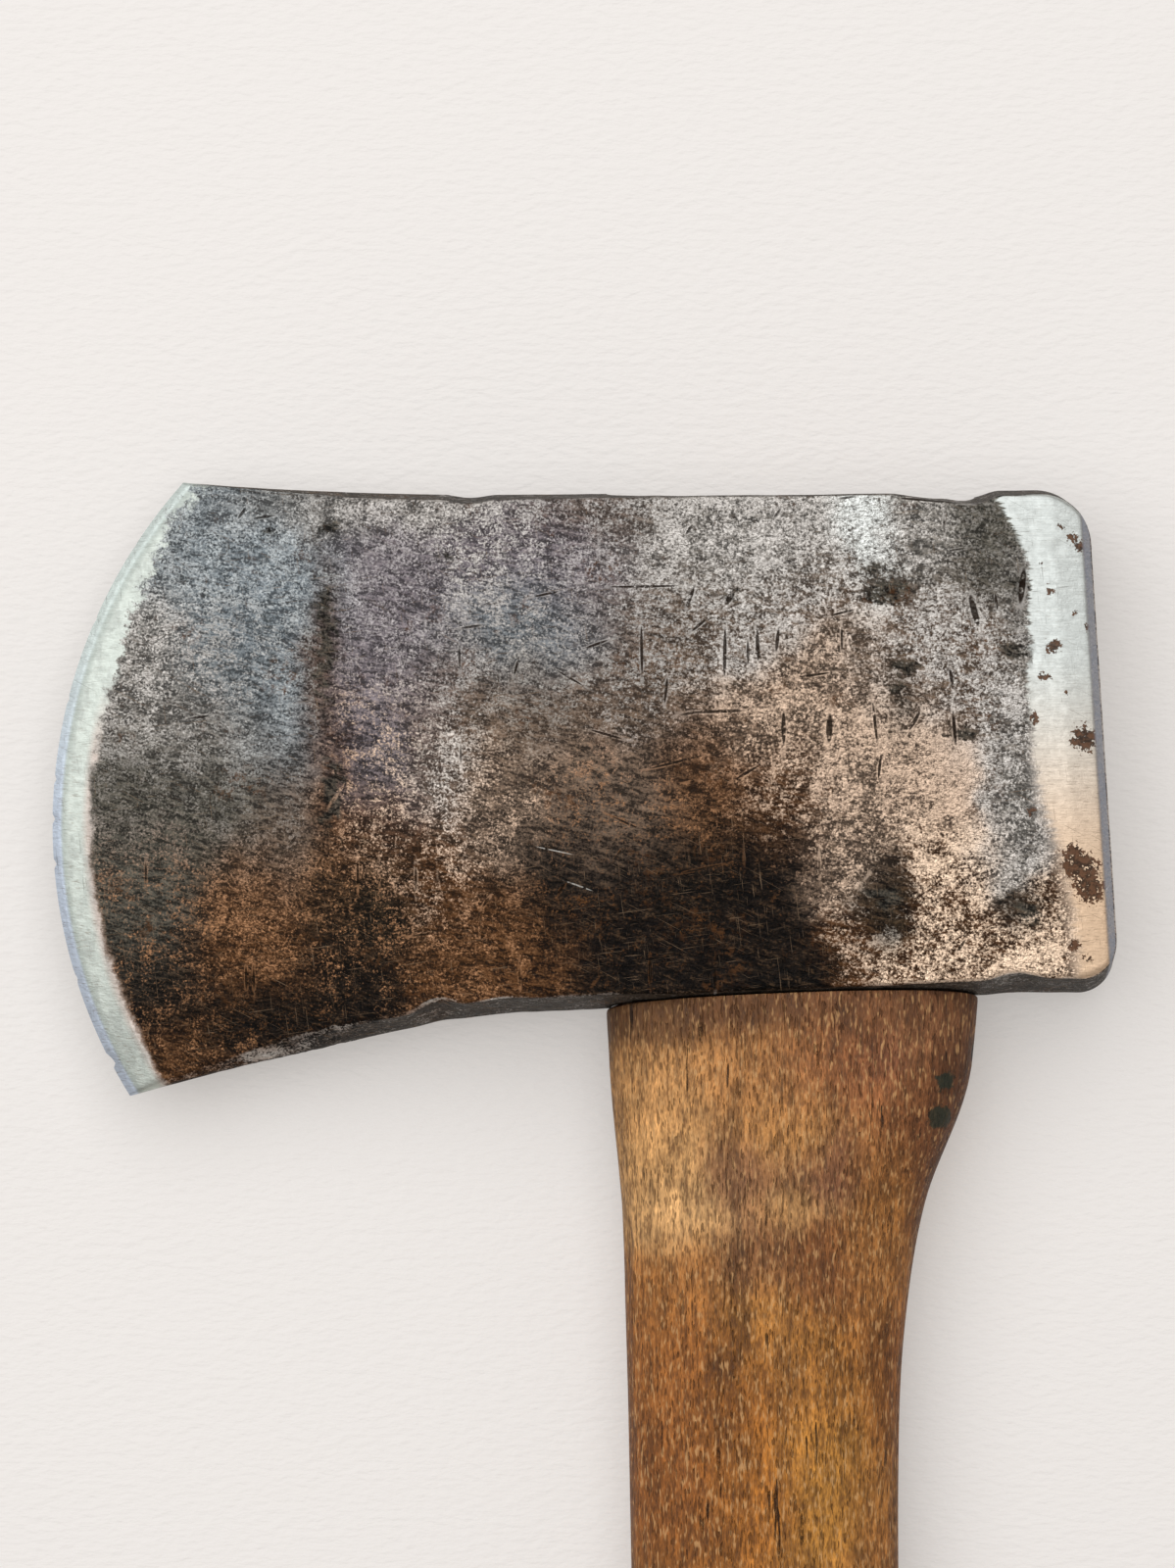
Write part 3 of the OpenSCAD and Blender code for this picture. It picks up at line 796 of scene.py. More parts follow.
# The upper cheek's patina, each [x, y, reach along x, reach along y, oxide, bare steel, share bare]
PATINA = [
    (-86, 31, 4, 4, GREY, PALE, 0.60), (-79, 27, 7, 7, SLATE, COOL, 0.42),
    (-69, 24, 8, 9, STEEL_BLUE, COOL, 0.50), (-66, 31, 8, 3, GREY, ASH, 0.36),
    (-51, 32, 10, 2.6, GREY, SILVER, 0.66), (-53, 22, 7, 8, VIOLET, DULL, 0.44),
    (-62.5, 13, 2.2, 12, BROWN, GREY, 0.20), (-60, -8, 2.6, 12, BROWN, COPPER, 0.18),
    (-38, 27, 7, 6, VIOLET, SILVER, 0.44), (-30, 24, 8, 9, VIOLET, DULL, 0.36),
    (-35, 15, 9, 6, SLATE, ASH, 0.44), (-26, 31, 9, 3, UMBER, ASH, 0.46),
    (-14, 27, 8, 7, GREY, SILVER, 0.70), (-2, 27, 8, 7, GREY, SILVER, 0.64),
    (9.5, 28, 2.8, 8, GREY, PALE, 0.88), (18, 28, 5, 6, GREY, SILVER, 0.36),
    (25, 27, 4, 7, DUSK, GREY, 0.40), (11.6, 21, 2.4, 2.0, SOOT, GREY, 0.02),
    (29, 17, 3, 6, GREY, ASH, 0.44), (21, 16, 6, 5, UMBER, SILVER, 0.56),
    (2, 20, 8, 5, UMBER, SILVER, 0.50), (-18, 17, 9, 6, UMBER, ASH, 0.32),
    (-84, 10, 5, 9, GREY, SILVER, 0.50), (-75, 13, 7, 7, SLATE, ASH, 0.42),
    (-78, 3, 8, 6, GREY, ASH, 0.36), (-68, 3, 5, 9, SLATE, COOL, 0.28),
    (-52, 11, 7, 6, VIOLET, DULL, 0.40), (-54, 0, 6, 8, VIOLET, WARM, 0.26),
    (-46.5, -4, 5, 6, UMBER, SILVER, 0.60), (-45, 7, 6, 6, UMBER, ASH, 0.34),
    (-33, 4, 8, 6, UMBER, GREY, 0.40), (-22, 6, 8, 6, UMBER, ASH, 0.38),
    (-8, 15, 6, 5, UMBER, SILVER, 0.66), (-4, 3, 7, 6, UMBER, WARM, 0.50),
    (6, 10, 6, 6, UMBER, WARM, 0.52), (14, 11, 6, 5, UMBER, SILVER, 0.50),
    (14.0, 6, 1.8, 3.4, SOOT, GREY, 0.30), (24, 6, 5, 7, UMBER, SILVER, 0.50),
    (28.6, 5, 2.6, 6, GREY, SILVER, 0.50), (14.5, 2, 6, 5, UMBER, WARM, 0.66),
    (-86, -8, 5, 8, DUSK, GREY, 0.42), (-76, -8, 8, 7, DUSK, GREY, 0.34),
    (-67, -8, 5, 8, UMBER, GREY, 0.26), (-55, -11, 5, 5, BROWN, WARM, 0.38),
    (-38, -6, 5, 8, UMBER, WARM, 0.30), (-25, -6, 9, 8, UMBER, COPPER, 0.24),
    (-12, -4, 6, 7, BROWN, COPPER, 0.28), (-1, -6, 5, 6, BROWN, WARM, 0.40),
    (8, -4, 6, 6, UMBER, WARM, 0.58), (21.5, -5, 3.0, 6.5, UMBER, WARM, 0.80),
    (17, -7, 3, 5, UMBER, WARM, 0.62), (27.6, -8, 3, 8, GREY, SILVER, 0.56),
    (-84, -20, 6, 8, DUSK, COPPER, 0.24), (-71, -19, 7, 6, BROWN, COPPER, 0.46),
    (-58, -20, 6, 7, SOOT, COPPER, 0.30), (-46, -16, 5, 6, BROWN, WARM, 0.22),
    (-41, -22, 6, 5, BROWN, COPPER, 0.40), (-30, -18, 6, 8, BLACK, BROWN, 0.16),
    (-14, -19, 9, 9, BLACK, BROWN, 0.10), (-3, -18, 4, 7, BLACK, BROWN, 0.10),
    (7, -14, 5, 5, UMBER, WARM, 0.42), (11.6, -20, 3.0, 5, SOOT, GREY, 0.06),
    (18, -16, 4, 6, BROWN, CREAM, 0.54), (24, -15, 3, 6, BROWN, CREAM, 0.60),
    (30.6, -21.6, 2.6, 2.4, SOOT, GREY, 0.04), (28, -15, 3, 4, GREY, SILVER, 0.46),
    (-82, -31, 6, 7, BLACK, COPPER, 0.22), (-72, -28, 7, 4, BROWN, COPPER, 0.38),
    (-70, -35, 9, 4, BLACK, BROWN, 0.14), (-56, -29, 7, 5, BLACK, COPPER, 0.20),
    (-45, -29, 6, 4, BROWN, COPPER, 0.30), (-35, -28, 5, 5, BROWN, COPPER, 0.10),
    (-25, -29, 5, 6, BLACK, BROWN, 0.08), (-4, -29, 7, 5, BLACK, BLACK, 0.0),
    (7.4, -28, 2.6, 5, BROWN, WARM, 0.42), (15, -29, 5, 3, BROWN, CREAM, 0.50),
    (24, -27, 6, 4, BROWN, CREAM, 0.56), (-80, -41, 6, 5, BROWN, COPPER, 0.32),
    (-74, -43, 6, 5, BLACK, COPPER, 0.20), (32.6, -27, 3, 7, BROWN, CREAM, 0.66),
]
# The line at which the bevel beside the poll is ground bare, each [y, x]
GROUND_LINE = [
    (34, 25.0), (30.5, 27.6), (27, 29.6), (21, 31.0), (8, 30.5), (-7, 30.5), (-17, 34.0), (-26, 35.2),
    (-34, 35.8),
]
# Dark patches on the upper cheek, in the dents' form: thick grime, and painted shade in the dents that lie
# under some of them
GRIME_AND_SHADE_SPOTS = [
    (12.2, 20.4, 6.4, 4.0, 0), (10.4, 23.4, 3.4, 1.6, 0), (14.6, 10.4, 3.0, 3.6, 110),
    (12.8, 7.6, 2.0, 3.0, 100), (11.8, -20.0, 4.0, 4.2, 80), (30.8, -21.8, 4.6, 3.4, 0),
    (29.0, 12.4, 2.6, 3.6, 80), (31.1, 9.8, 1.4, 3.8, 88), (29.9, 21.1, 1.8, 5.6, 83),
    (-46.0, 25.0, 3.4, 1.2, 10), (-8.4, 19.6, 2.6, 1.6, 60), (22.0, 1.6, 2.4, 5.0, 95),
    (-60.5, 29.0, 3.2, 2.0, 150), (-69.0, 28.6, 3.4, 1.8, 160), (-61.8, 14.0, 2.6, 20.0, 0),
    (-61.0, -6.0, 2.4, 12.0, 0),
]
# Places on it that are rubbed bright, in the same form
RUBBED_SPOTS = [
    (20.8, -3.6, 6.4, 13.0, 0), (9.4, 28.8, 5.0, 12.0, 8), (22.6, -11.6, 6.4, 6.0, 0),
    (31.4, -28.2, 11.0, 4.8, 12), (15.4, 23.8, 1.8, 4.0, 100), (13.0, -25.5, 5.0, 4.0, 0),
    (17.0, -15.0, 4.0, 4.4, 0), (29.0, 6.0, 3.0, 8.0, 0),
]
# Rusty spots on that bevel, each [x, y, length, width, turn]
BEVEL_SPOTS = [
    (36.4, 27.4, 2.0, 1.4, 20), (37.6, 26.2, 2.6, 1.9, 160), (35.0, 28.8, 1.2, 0.8, 0),
    (34.0, 13.2, 2.6, 2.4, 40), (32.4, 9.2, 1.2, 1.4, 0), (33.4, 9.0, 1.0, 1.0, 0),
    (31.4, 3.6, 1.4, 2.6, 0), (38.0, 1.0, 4.4, 4.6, 20), (37.4, -15.6, 7.4, 5.2, 150),
    (38.6, -18.4, 6.0, 5.0, 120), (36.6, -13.4, 2.8, 2.0, 0), (41.2, -5.4, 1.6, 1.6, 0),
    (36.6, -26.0, 2.4, 1.6, 0), (38.4, -27.8, 1.8, 1.2, 0), (33.6, 20.4, 1.0, 1.6, 0),
    (35.8, 6.8, 1.0, 0.8, 0), (38.4, 15.6, 0.9, 1.3, 0), (31.2, -8.6, 1.4, 2.4, 0),
    (32.2, 24.0, 0.9, 0.9, 0), (36.8, 17.6, 0.9, 0.9, 0),
]
# A distance that puts the narrow sides well outside that bevel
FAR = 30.0


def blended_patches(points, patches, warp, seed):
    """Mixes listed patches by nearness, with their borders bent by warp millimetres."""
    bent = points * (1, 1, 0)
    x = points[:, 0] + warp * layered_grain(bent, 7, seed, 4, 0.65)
    y = points[:, 1] + warp * layered_grain(bent, 7, seed + 10, 4, 0.65)
    total = np.zeros(len(points))
    mixed = 0
    for at_x, at_y, reach_x, reach_y, *value in patches:
        far = ((x - at_x) / reach_x) ** 2 + ((y - at_y) / reach_y) ** 2
        share = np.exp(-1.1 * far) + 0.0005 / (1 + far)
        total += share
        numbers = [srgb(v) if isinstance(v, str) else v for v in value]
        mixed = mixed + share[:, None] * np.hstack(numbers)[None, :]
    return mixed / total[:, None]


def paint_patina(points, normals):
    """The forging's oxide colour, darkened by grime and in some dents by painted shade, its bare-steel
    colour and share bare at each point.
    """
    x, y, z = points.T
    upper = z > MID_Z
    mixed = np.where((z < MID_Z)[:, None], blended_patches(points, PATINA, 11.0, 520),
                     blended_patches(points, PATINA, 3.2, 300))
    oxide, steel, bare = mixed[:, :3], mixed[:, 3:6], mixed[:, 6]
    flat = points * (1, 1, 0)
    jag_x = x + 2.6 * layered_grain(flat, (2.4, 0.8, 1), 360, 3, 0.8)
    jag_y = y + 1.0 * layered_grain(flat, 1.4, 370, 3, 0.8)
    # Grime, and painted shade in some dents, darken the oxide and hide the bare steel
    grime_and_shade = smooth_step(in_spots(jag_x, jag_y, GRIME_AND_SHADE_SPOTS), 0.10, 0.5) * upper
    oxide = toward(oxide, np.array(srgb(DUSK)) * 0.6, 0.85 * grime_and_shade)
    bare = bare * (1 - 0.85 * grime_and_shade)
    rubbed = smooth_step(in_spots(jag_x, jag_y, RUBBED_SPOTS), 0.05, 0.35) * upper
    bare = toward(bare, 0.90, 0.75 * rubbed * (1 - grime_and_shade))

    on_side = smooth_step(1 - np.abs(normals[:, 2]), 0.45, 0.75)
    side_oxide = np.array(srgb("#453f38")) * (0.75 + 0.5 * layered_grain(points, 14, 320, 3))[:, None]
    oxide = toward(oxide, side_oxide, on_side)
    steel = toward(steel, np.array(srgb(ASH)), on_side)
    bare = toward(bare, 0.12, on_side)
    return oxide, steel, bare, on_side


def paint_head(piece):
    """Gives the head's points their oxide colour, bare-steel colour and share bare, and where
    each lies: its distance from the cutting edge, past the ground line and from the poll, and
    whether it is on a narrow side."""
    points, normals = points_of(piece)
    x, y, z = points.T
    oxide, steel, bare, on_side = paint_patina(points, normals)

    on_poll = smooth_step(normals[:, 0], 0.8, 0.95)
    oxide = toward(oxide, np.array(srgb(UMBER)), on_poll)
    steel = toward(steel, np.array(srgb(SILVER)), on_poll)
    middle = np.clip(1 - ((y + 1) / 27) ** 2, 0, 1) * np.clip(1 - ((z - MID_Z) / 10) ** 2, 0, 1)
    beaten = 0.34 + 0.36 * middle + 0.9 * layered_grain(points, 9, 380, 4)
    bare = toward(bare, np.clip(beaten, 0, 1), on_poll)

    # Edges between the cheeks and the sides are rubbed bright where the forging is chipped
    slant = np.abs(normals[:, 2])
    worn = smooth_step(4 * slant**2 * (1 - slant**2), 0.45, 0.95)
    at_top = smooth_step(y, 12, 26)
    burred = sum(hump(x, at, length * 1.25) for at, length, *_ in FOOT_CHIPS) * smooth_step(-y, 24, 30)
    worn = worn * np.clip(0.15 + 0.5 * burred + 0.9 * layered_grain(points, 3, 340, 4), 0, 1)
    worn = worn * (1 - 0.8 * at_top)
    steel = toward(steel, np.array(srgb(SILVER)), worn)
    bare = np.clip(bare + 0.7 * worn, 0, 1)

    spots = in_spots(x, y, BEVEL_SPOTS) * smooth_step(normals[:, 2], 0.5, 0.8)
    from_edge = BIT_R - np.hypot(np.minimum(x - BIT_CENTRE[0], 0), y - BIT_CENTRE[1])
    ground_y, ground_x = np.array(GROUND_LINE).T
    past_ground = x - np.interp(-y, -ground_y, ground_x) - FAR * on_side
    from_poll = (poll_x(y) - x) * (1 - on_poll)
    store(piece, "oxide", np.column_stack([oxide, spots]))
    store(piece, "steel", np.column_stack([steel, bare]))
    store(piece, "reach", np.column_stack([from_edge, past_ground, from_poll, on_side]))


# The handle's stains, each [x, y, reach along x, reach along y, colour, share of dirt]
STAINS = [
    (-19, -36.6, 5, 2.2, "#6a4828", 0.66), (-7, -35.5, 8, 2.2, "#6a4526", 0.62),
    (7, -35.5, 8, 2.6, "#7a5030", 0.44), (20, -37, 4, 4, "#7a5032", 0.36),
    (16, -40.5, 3, 3, "#946440", 0.16), (-16, -46, 6, 6, "#b4834f", 0.14),
    (-5, -44, 8, 6, "#a2703f", 0.16), (6, -43, 7, 5, "#965f38", 0.20),
    (11.5, -41.5, 2.8, 2.6, "#7a4c34", 0.36), (15, -50, 4, 7, "#86552f", 0.28),
    (21, -49, 3, 8, "#6c4226", 0.48), (-17, -54, 4.6, 8, "#c2935c", 0.04),
    (-15.5, -61, 4.4, 4.6, "#cda06a", 0.02), (-7, -56, 4.4, 5, "#8a6040", 0.40),
    (-1, -50, 6, 5, "#a4743f", 0.12), (5, -56, 4, 4.4, "#80543a", 0.44),
    (0, -60.5, 5, 2.4, "#b08350", 0.08), (12, -58, 4, 6, "#94622f", 0.22),
    (17.6, -55, 2.4, 8, "#653c20", 0.50), (-5, -67.5, 4.4, 4, "#7f5532", 0.42),
    (4, -70, 4, 4.6, "#7c4c26", 0.42), (-15, -71, 5, 5, "#93602e", 0.24),
    (-3, -76, 6, 6, "#9c6a31", 0.14), (11, -70, 4, 7, "#a56e38", 0.14), (-16, -82, 5, 8, "#8c5726", 0.26),
    (-6, -84, 5, 7, "#85521f", 0.26), (4, -84, 5, 7, "#9c672c", 0.14), (12, -84, 4, 9, "#8b5627", 0.28),
    (-16, -97, 6, 10, "#7e4c20", 0.26), (-6, -98, 6, 9, "#985f24", 0.14),
    (5, -98, 6, 10, "#a3712f", 0.08), (12, -104, 4, 10, "#8f5d2d", 0.20),
    (-14, -122, 7, 12, "#925f28", 0.18), (-2, -126, 7, 12, "#a06d32", 0.10),
    (10, -124, 6, 12, "#91602e", 0.20), (-8, -155, 12, 16, "#93602e", 0.16),
    (6, -160, 8, 16, "#88582b", 0.24), (-6, -192, 12, 16, "#85552b", 0.28),
    (4, -222, 12, 18, "#81522a", 0.32), (-6, -252, 12, 18, "#86582d", 0.28),
    (-12, -285, 12, 14, "#7f5127", 0.30), (-8, -312, 18, 10, "#694424", 0.48),
]
GREEN_SPOTS = [(20.0, -44.0, 2.6, 4.0, 85), (19.3, -48.8, 4.4, 4.4, 80)]
# A dark streak along the handle's edge just below the head, [x, y, length, width, turn]; it is also sunk a
# little
DARK_STREAK = (24.2, -41.5, 8.0, 1.1, 96)


def paint_handle(piece):
    """Gives the handle's points their stain, painted darker on the narrow sides as shade, and says where it
    is dirty, worn, green or end grain.
    """
    points, normals = points_of(piece)
    x, y, z = points.T
    turned = np.where(z < MID_Z, -8 - x, x)
    seen = np.stack([turned, y, z], axis=1)
    mixed = blended_patches(seen, STAINS, 3.0, 400)
    stain_and_shade, dirt = mixed[:, :3], mixed[:, 3]
    side = 1 - np.abs(normals[:, 2])
    # Painted shade: the narrow sides are darker
    stain_and_shade = stain_and_shade * (1 - 0.34 * smooth_step(side, 0.25, 0.9))[:, None]
    end = smooth_step(np.abs(normals[:, 1]), 0.6, 0.9) * ((y < -300) | (y > 20))
    knob_wear = smooth_step(-y, 304, 322) * smooth_step(side, 0.2, 0.7)
    stain_and_shade = stain_and_shade * (1 - 0.42 * end)[:, None]
    dirt = np.clip(dirt + 0.30 * end - 0.2 * knob_wear, 0, 1)
    green = in_spots(x, y, GREEN_SPOTS) * (z > MID_Z)
    dark_streak = oval_share(x, y, DARK_STREAK) * (z > MID_Z)
    store(piece, "stain_and_shade", np.column_stack([stain_and_shade, dirt]))
    store(piece, "marks", np.column_stack([green, dark_streak, end, np.ones(len(x))]))


# ---- Materials ----

# The share of the floor's tone that doesn't depend on the light
FLOOR_OWN_TONE = 0.35


class Finish:
    """Builds one material's nodes. Patterns are laid out in millimetres in the object's own frame."""

    def __init__(self, name):
        self.material = bpy.data.materials.new(name)
        self.material.use_nodes = True
        self.tree = self.material.node_tree
        self.shader = next(n for n in self.tree.nodes if n.type == "BSDF_PRINCIPLED")
        self.place = self.scaled(self.add("ShaderNodeTexCoord").outputs["Object"], (1 / MM,) * 3)

    def add(self, kind, **settings):
        node = self.tree.nodes.new(kind)
        for name, value in settings.items():
            setattr(node, name, value)
        return node

    def put(self, socket, value):
        """Links a socket's value, or sets it to a number, a place or a colour code."""
        if isinstance(value, str):
            value = srgb(value)
        if isinstance(value, bpy.types.NodeSocket):
            self.tree.links.new(value, socket)
        elif isinstance(value, (int, float)) or len(value) == len(socket.default_value):
            socket.default_value = value
        else:
            socket.default_value = (*value, 1)

    def set(self, **values):
        for name, value in values.items():
            self.put(self.shader.inputs[name.replace("_", " ")], value)

    def scaled(self, place, scale):
        node = self.add("ShaderNodeVectorMath", operation="MULTIPLY")
        self.put(node.inputs[0], place)
        self.put(node.inputs[1], scale)
        return node.outputs[0]

    def moved(self, place, shift):
        node = self.add("ShaderNodeVectorMath", operation="ADD")
        self.put(node.inputs[0], place)
        self.put(node.inputs[1], shift)
        return node.outputs[0]

    def length(self, place):
        node = self.add("ShaderNodeVectorMath", operation="LENGTH")
        self.put(node.inputs[0], place)
        return node.outputs["Value"]

    def laid(self, x, y, z, turn=0):
        """The place for a pattern that is stretched along each axis, and turned about Z."""
        place = self.place
        if turn:
            node = self.add("ShaderNodeMapping", vector_type="TEXTURE")
            self.put(node.inputs["Vector"], place)
            node.inputs["Rotation"].default_value = (0, 0, math.radians(turn))
            place = node.outputs[0]
        return self.scaled(place, (1 / x, 1 / y, 1 / z))

    def math(self, operation, a, b=0.0, clamp=False):
        node = self.add("ShaderNodeMath", operation=operation, use_clamp=clamp)
        self.put(node.inputs[0], a)
        self.put(node.inputs[1], b)
        return node.outputs[0]

    def chain(self, operation, result, *others):
        for value in others:
            result = self.math(operation, result, value)
        return result

    def most(self, *values):
        return self.chain("MAXIMUM", *values)

    def plus(self, *values):
        return self.chain("ADD", *values)

    def times(self, *values):
        return self.chain("MULTIPLY", *values)

    def less(self, value):
        """One less the value."""
        return self.math("SUBTRACT", 1.0, value, clamp=True)

    def step(self, value, low, high):
        node = self.add("ShaderNodeMapRange", interpolation_type="SMOOTHSTEP")
        self.put(node.inputs["Value"], value)
        self.put(node.inputs["From Min"], low)
        self.put(node.inputs["From Max"], high)
        return node.outputs["Result"]

    def span(self, value, low, high, to_low, to_high):
        node = self.add("ShaderNodeMapRange")
        for name, number in zip(("Value", "From Min", "From Max", "To Min", "To Max"),
                                (value, low, high, to_low, to_high)):
            self.put(node.inputs[name], number)
        return node.outputs["Result"]

    def swing(self, noise, low, high):
        """A number that runs from low to high over the range that noise mostly keeps to."""
        return self.span(noise, 0.3, 0.7, low, high)

    def centred(self, noise):
        """The noise less its mean."""
        return self.math("SUBTRACT", noise, 0.5)

    def mix(self, share, a, b, clamped=True):
        node = self.add("ShaderNodeMix", data_type="RGBA", clamp_factor=clamped)
        self.put(node.inputs["Factor"], share)
        for name, colour in (("A", a), ("B", b)):
            self.put(next(i for i in node.inputs if i.name == name and i.type == "RGBA"), colour)
        return next(o for o in node.outputs if o.type == "RGBA")

    def lighten(self, colour, amount):
        """The colour times a number."""
        return self.mix(amount, (0, 0, 0), colour, clamped=False)

    def noise(self, size, detail=4, rough=0.55, place=None, bend=0.0):
        node = self.add("ShaderNodeTexNoise")
        self.put(node.inputs["Vector"], place or self.place)
        self.put(node.inputs["Scale"], 1 / size)
        self.put(node.inputs["Detail"], detail)
        self.put(node.inputs["Roughness"], rough)
        self.put(node.inputs["Distortion"], bend)
        return node.outputs["Fac"]

    def cells(self, size, output="Distance", place=None, loose=1.0):
        node = self.add("ShaderNodeTexVoronoi")
        self.put(node.inputs["Vector"], place or self.place)
        self.put(node.inputs["Scale"], 1 / size)
        self.put(node.inputs["Randomness"], loose)
        return node.outputs[output]

    def kept_cells(self, size, keep, place=None):
        """1 in a share of the Voronoi cells, chosen by their colour, and 0 in the rest."""
        draw = self.parts(self.cells(size, "Color", place))[0]
        return self.step(draw, 1 - keep, 1 - keep + 0.02)

    def pits(self, size, reach, keep):
        """Round marks in a share of Voronoi cells: 1 at the middle, 0 outside."""
        near = self.less(self.step(self.cells(size), reach * 0.35, reach))
        return self.times(near, self.kept_cells(size, keep))

    def strokes(self, degrees, width, length, keep, bend=0.6):
        """Thin straight scratches at an angle: the crests of a long, narrow noise."""
        place = self.laid(length, width, length, degrees)
        line = self.noise(1.0, 1.5, 0.4, place, bend)
        return self.step(line, keep, keep + 0.05)

    def scored(self, degrees, width, length, keep):
        """Short cuts at an angle: stretched Voronoi cells, a share of which are kept. Returns their insides
        and a thin rim round each, which is painted pale as a highlight.
        """
        place = self.laid(4 * length, 4 * width, 4 * length, degrees)
        near = self.cells(1.0, place=place)
        kept = self.kept_cells(1.0, keep, place)
        inside = self.times(self.less(self.step(near, 0.05, 0.13)), kept)
        rim = self.times(self.less(self.step(near, 0.14, 0.24)), kept)
        return inside, self.math("SUBTRACT", rim, inside, clamp=True)

    def marks(self, places):
        """Marks of their own on the upper side, each [x, y, length, width, turn]: a mask that is 1 inside
        them, and one for a thin rim round them, which is painted pale as a highlight."""
        inside = lit_rims = 0.0
        for x, y, length, width, degrees in places:
            node = self.add("ShaderNodeMapping", vector_type="TEXTURE")
            self.put(node.inputs["Vector"], self.place)
            node.inputs["Location"].default_value = (x, y, MID_Z * 2)
            node.inputs["Rotation"].default_value = (0, 0, math.radians(degrees))
            node.inputs["Scale"].default_value = (length / 2, width / 2, 3)
            out = self.length(node.outputs[0])
            within = self.less(self.step(out, 0.80, 1.10))
            around = self.less(self.step(out, 1.2, 2.1))
            inside = self.most(inside, within)
            lit_rims = self.most(lit_rims, around)
        return inside, self.math("SUBTRACT", lit_rims, inside, clamp=True)

    def carried(self, name):
        """A colour that the mesh carries, and its fourth number."""
        node = self.add("ShaderNodeAttribute", attribute_name=name)
        return node.outputs["Color"], node.outputs["Alpha"]

    def parts(self, colour):
        node = self.add("ShaderNodeSeparateColor")
        self.put(node.inputs[0], colour)
        return node.outputs

    def parts_of(self, place):
        node = self.add("ShaderNodeSeparateXYZ")
        self.put(node.inputs[0], place)
        return node.outputs

    def bump(self, height, distance, strength=1.0):
        node = self.add("ShaderNodeBump")
        self.put(node.inputs["Height"], height)
        self.put(node.inputs["Strength"], strength)
        node.inputs["Distance"].default_value = distance * MM
        return node.outputs["Normal"]


# Cuts in the upper cheek, some of its dents, and nicks across the bit, each [x, y, length, width, turn in
# degrees]. Their insides are painted dark, partly as the shade in them, and a thin rim round each is
# painted pale as a highlight
SHADED_CHEEK_CUTS = [
    (-20.0, 12.6, 6.4, 0.42, 91), (-9.1, 12.4, 6.6, 0.5, 89), (-4.8, 13.4, 4.6, 0.55, 92),
    (-2.2, 14.0, 3.2, 0.5, 84), (-1.4, 2.4, 4.6, 0.6, 90), (4.6, 2.4, 3.8, 0.9, 88),
    (10.6, 3.0, 5.4, 0.4, 96), (-19.8, 21.0, 9.0, 0.34, 1), (-15.4, -2.0, 7.4, 0.36, 14),
    (-10.0, 4.6, 7.0, 0.44, 2), (-52.6, 23.6, 3.2, 0.6, 2), (-46.2, 30.8, 3.2, 0.7, 8),
    (-57.6, -1.2, 3.4, 0.3, 8), (20.6, 9.0, 2.6, 0.5, 100), (-12.4, 16.0, 2.6, 0.4, 40),
    (-26.0, 13.4, 3.4, 0.36, 20), (-32.6, 20.0, 3.6, 0.34, 12), (-13.6, 19.6, 2.8, 0.5, 70),
    (-8.4, 19.6, 2.4, 0.8, 62), (-29.4, 9.0, 4.0, 0.3, 150), (-16.8, 7.4, 3.4, 0.4, 84),
    (2.6, 9.4, 4.2, 0.34, 8), (6.4, 17.6, 3.2, 0.34, 14), (-36.4, 10.6, 3.0, 0.4, 75),
    (-24.6, 1.6, 4.4, 0.34, 164), (-6.2, -3.4, 3.6, 0.4, 30), (11.2, -2.6, 3.4, 0.4, 84),
    (15.8, 3.4, 2.8, 0.5, 60), (23.6, 17.8, 4.4, 0.9, 105), (26.5, 19.0, 2.2, 0.34, 98),
    (29.9, 21.1, 4.8, 0.9, 83), (21.0, 2.4, 4.6, 0.5, 95), (-93.8, -6.9, 1.9, 0.34, 4),
    (-93.6, -15.0, 1.8, 0.42, 6), (-91.4, -29.0, 2.2, 0.34, 10), (-94.2, -9.2, 1.2, 0.2, 4),
    (-87.4, -43.4, 1.8, 0.3, 12), (-12.0, -16.0, 5.0, 0.3, 12), (-22.0, -10.0, 4.0, 0.3, -24),
    (18.9, 32.2, 12.0, 0.4, 176),
]
# Painted highlights: pale glints on burrs and scratches of the upper cheek, in the same form
GLINTS = [
    (-46.5, -33.6, 6.8, 0.36, 3), (-28.4, -18.2, 4.2, 0.2, 160), (-31.6, -13.6, 5.4, 0.18, 168),
    (-63.2, -28.4, 4.6, 0.22, 70), (-46.6, -26.4, 5.0, 0.18, 80), (18.6, 32.8, 12.0, 0.5, 176),
    (-69.6, -37.6, 5.0, 0.5, 17), (-62.6, -35.2, 6.4, 0.6, 15), (-56.4, -33.8, 4.0, 0.4, 8),
    (-76.0, -40.6, 2.6, 0.6, 30),
]


def ground_bands(f, from_edge, past_ground, from_poll, height_up):
    """Where the head is ground bare: masks of the band at the cutting edge and of the poll's bevel."""
    ragged = f.swing(f.noise(1.0, 4, 0.7, f.laid(3.2, 0.5, 1)), -1.5, 1.5)
    wander = f.swing(f.noise(9.0, 4, 0.6), -1.6, 1.6)
    patchy = f.span(f.noise(2.4, 4, 0.85), 0.36, 0.64, -1.5, 1.5)
    bit_line = f.plus(from_edge, f.times(patchy, f.span(height_up, -5, 30, 0.2, 1.2)), f.times(wander, 0.4))
    at_bit = f.less(f.step(bit_line, f.span(height_up, 14, 30, GRIND_W - 0.6, 1.0),
                           f.span(height_up, 14, 30, GRIND_W + 0.6, 3.2)))
    poll_line = f.plus(past_ground, f.times(ragged, 0.45), f.times(wander, 0.25))
    at_poll = f.step(poll_line, -0.3, f.span(height_up, 6, -8, 0.5, 3.0))
    return at_bit, f.times(at_poll, f.step(from_poll, 0.9, 1.4))


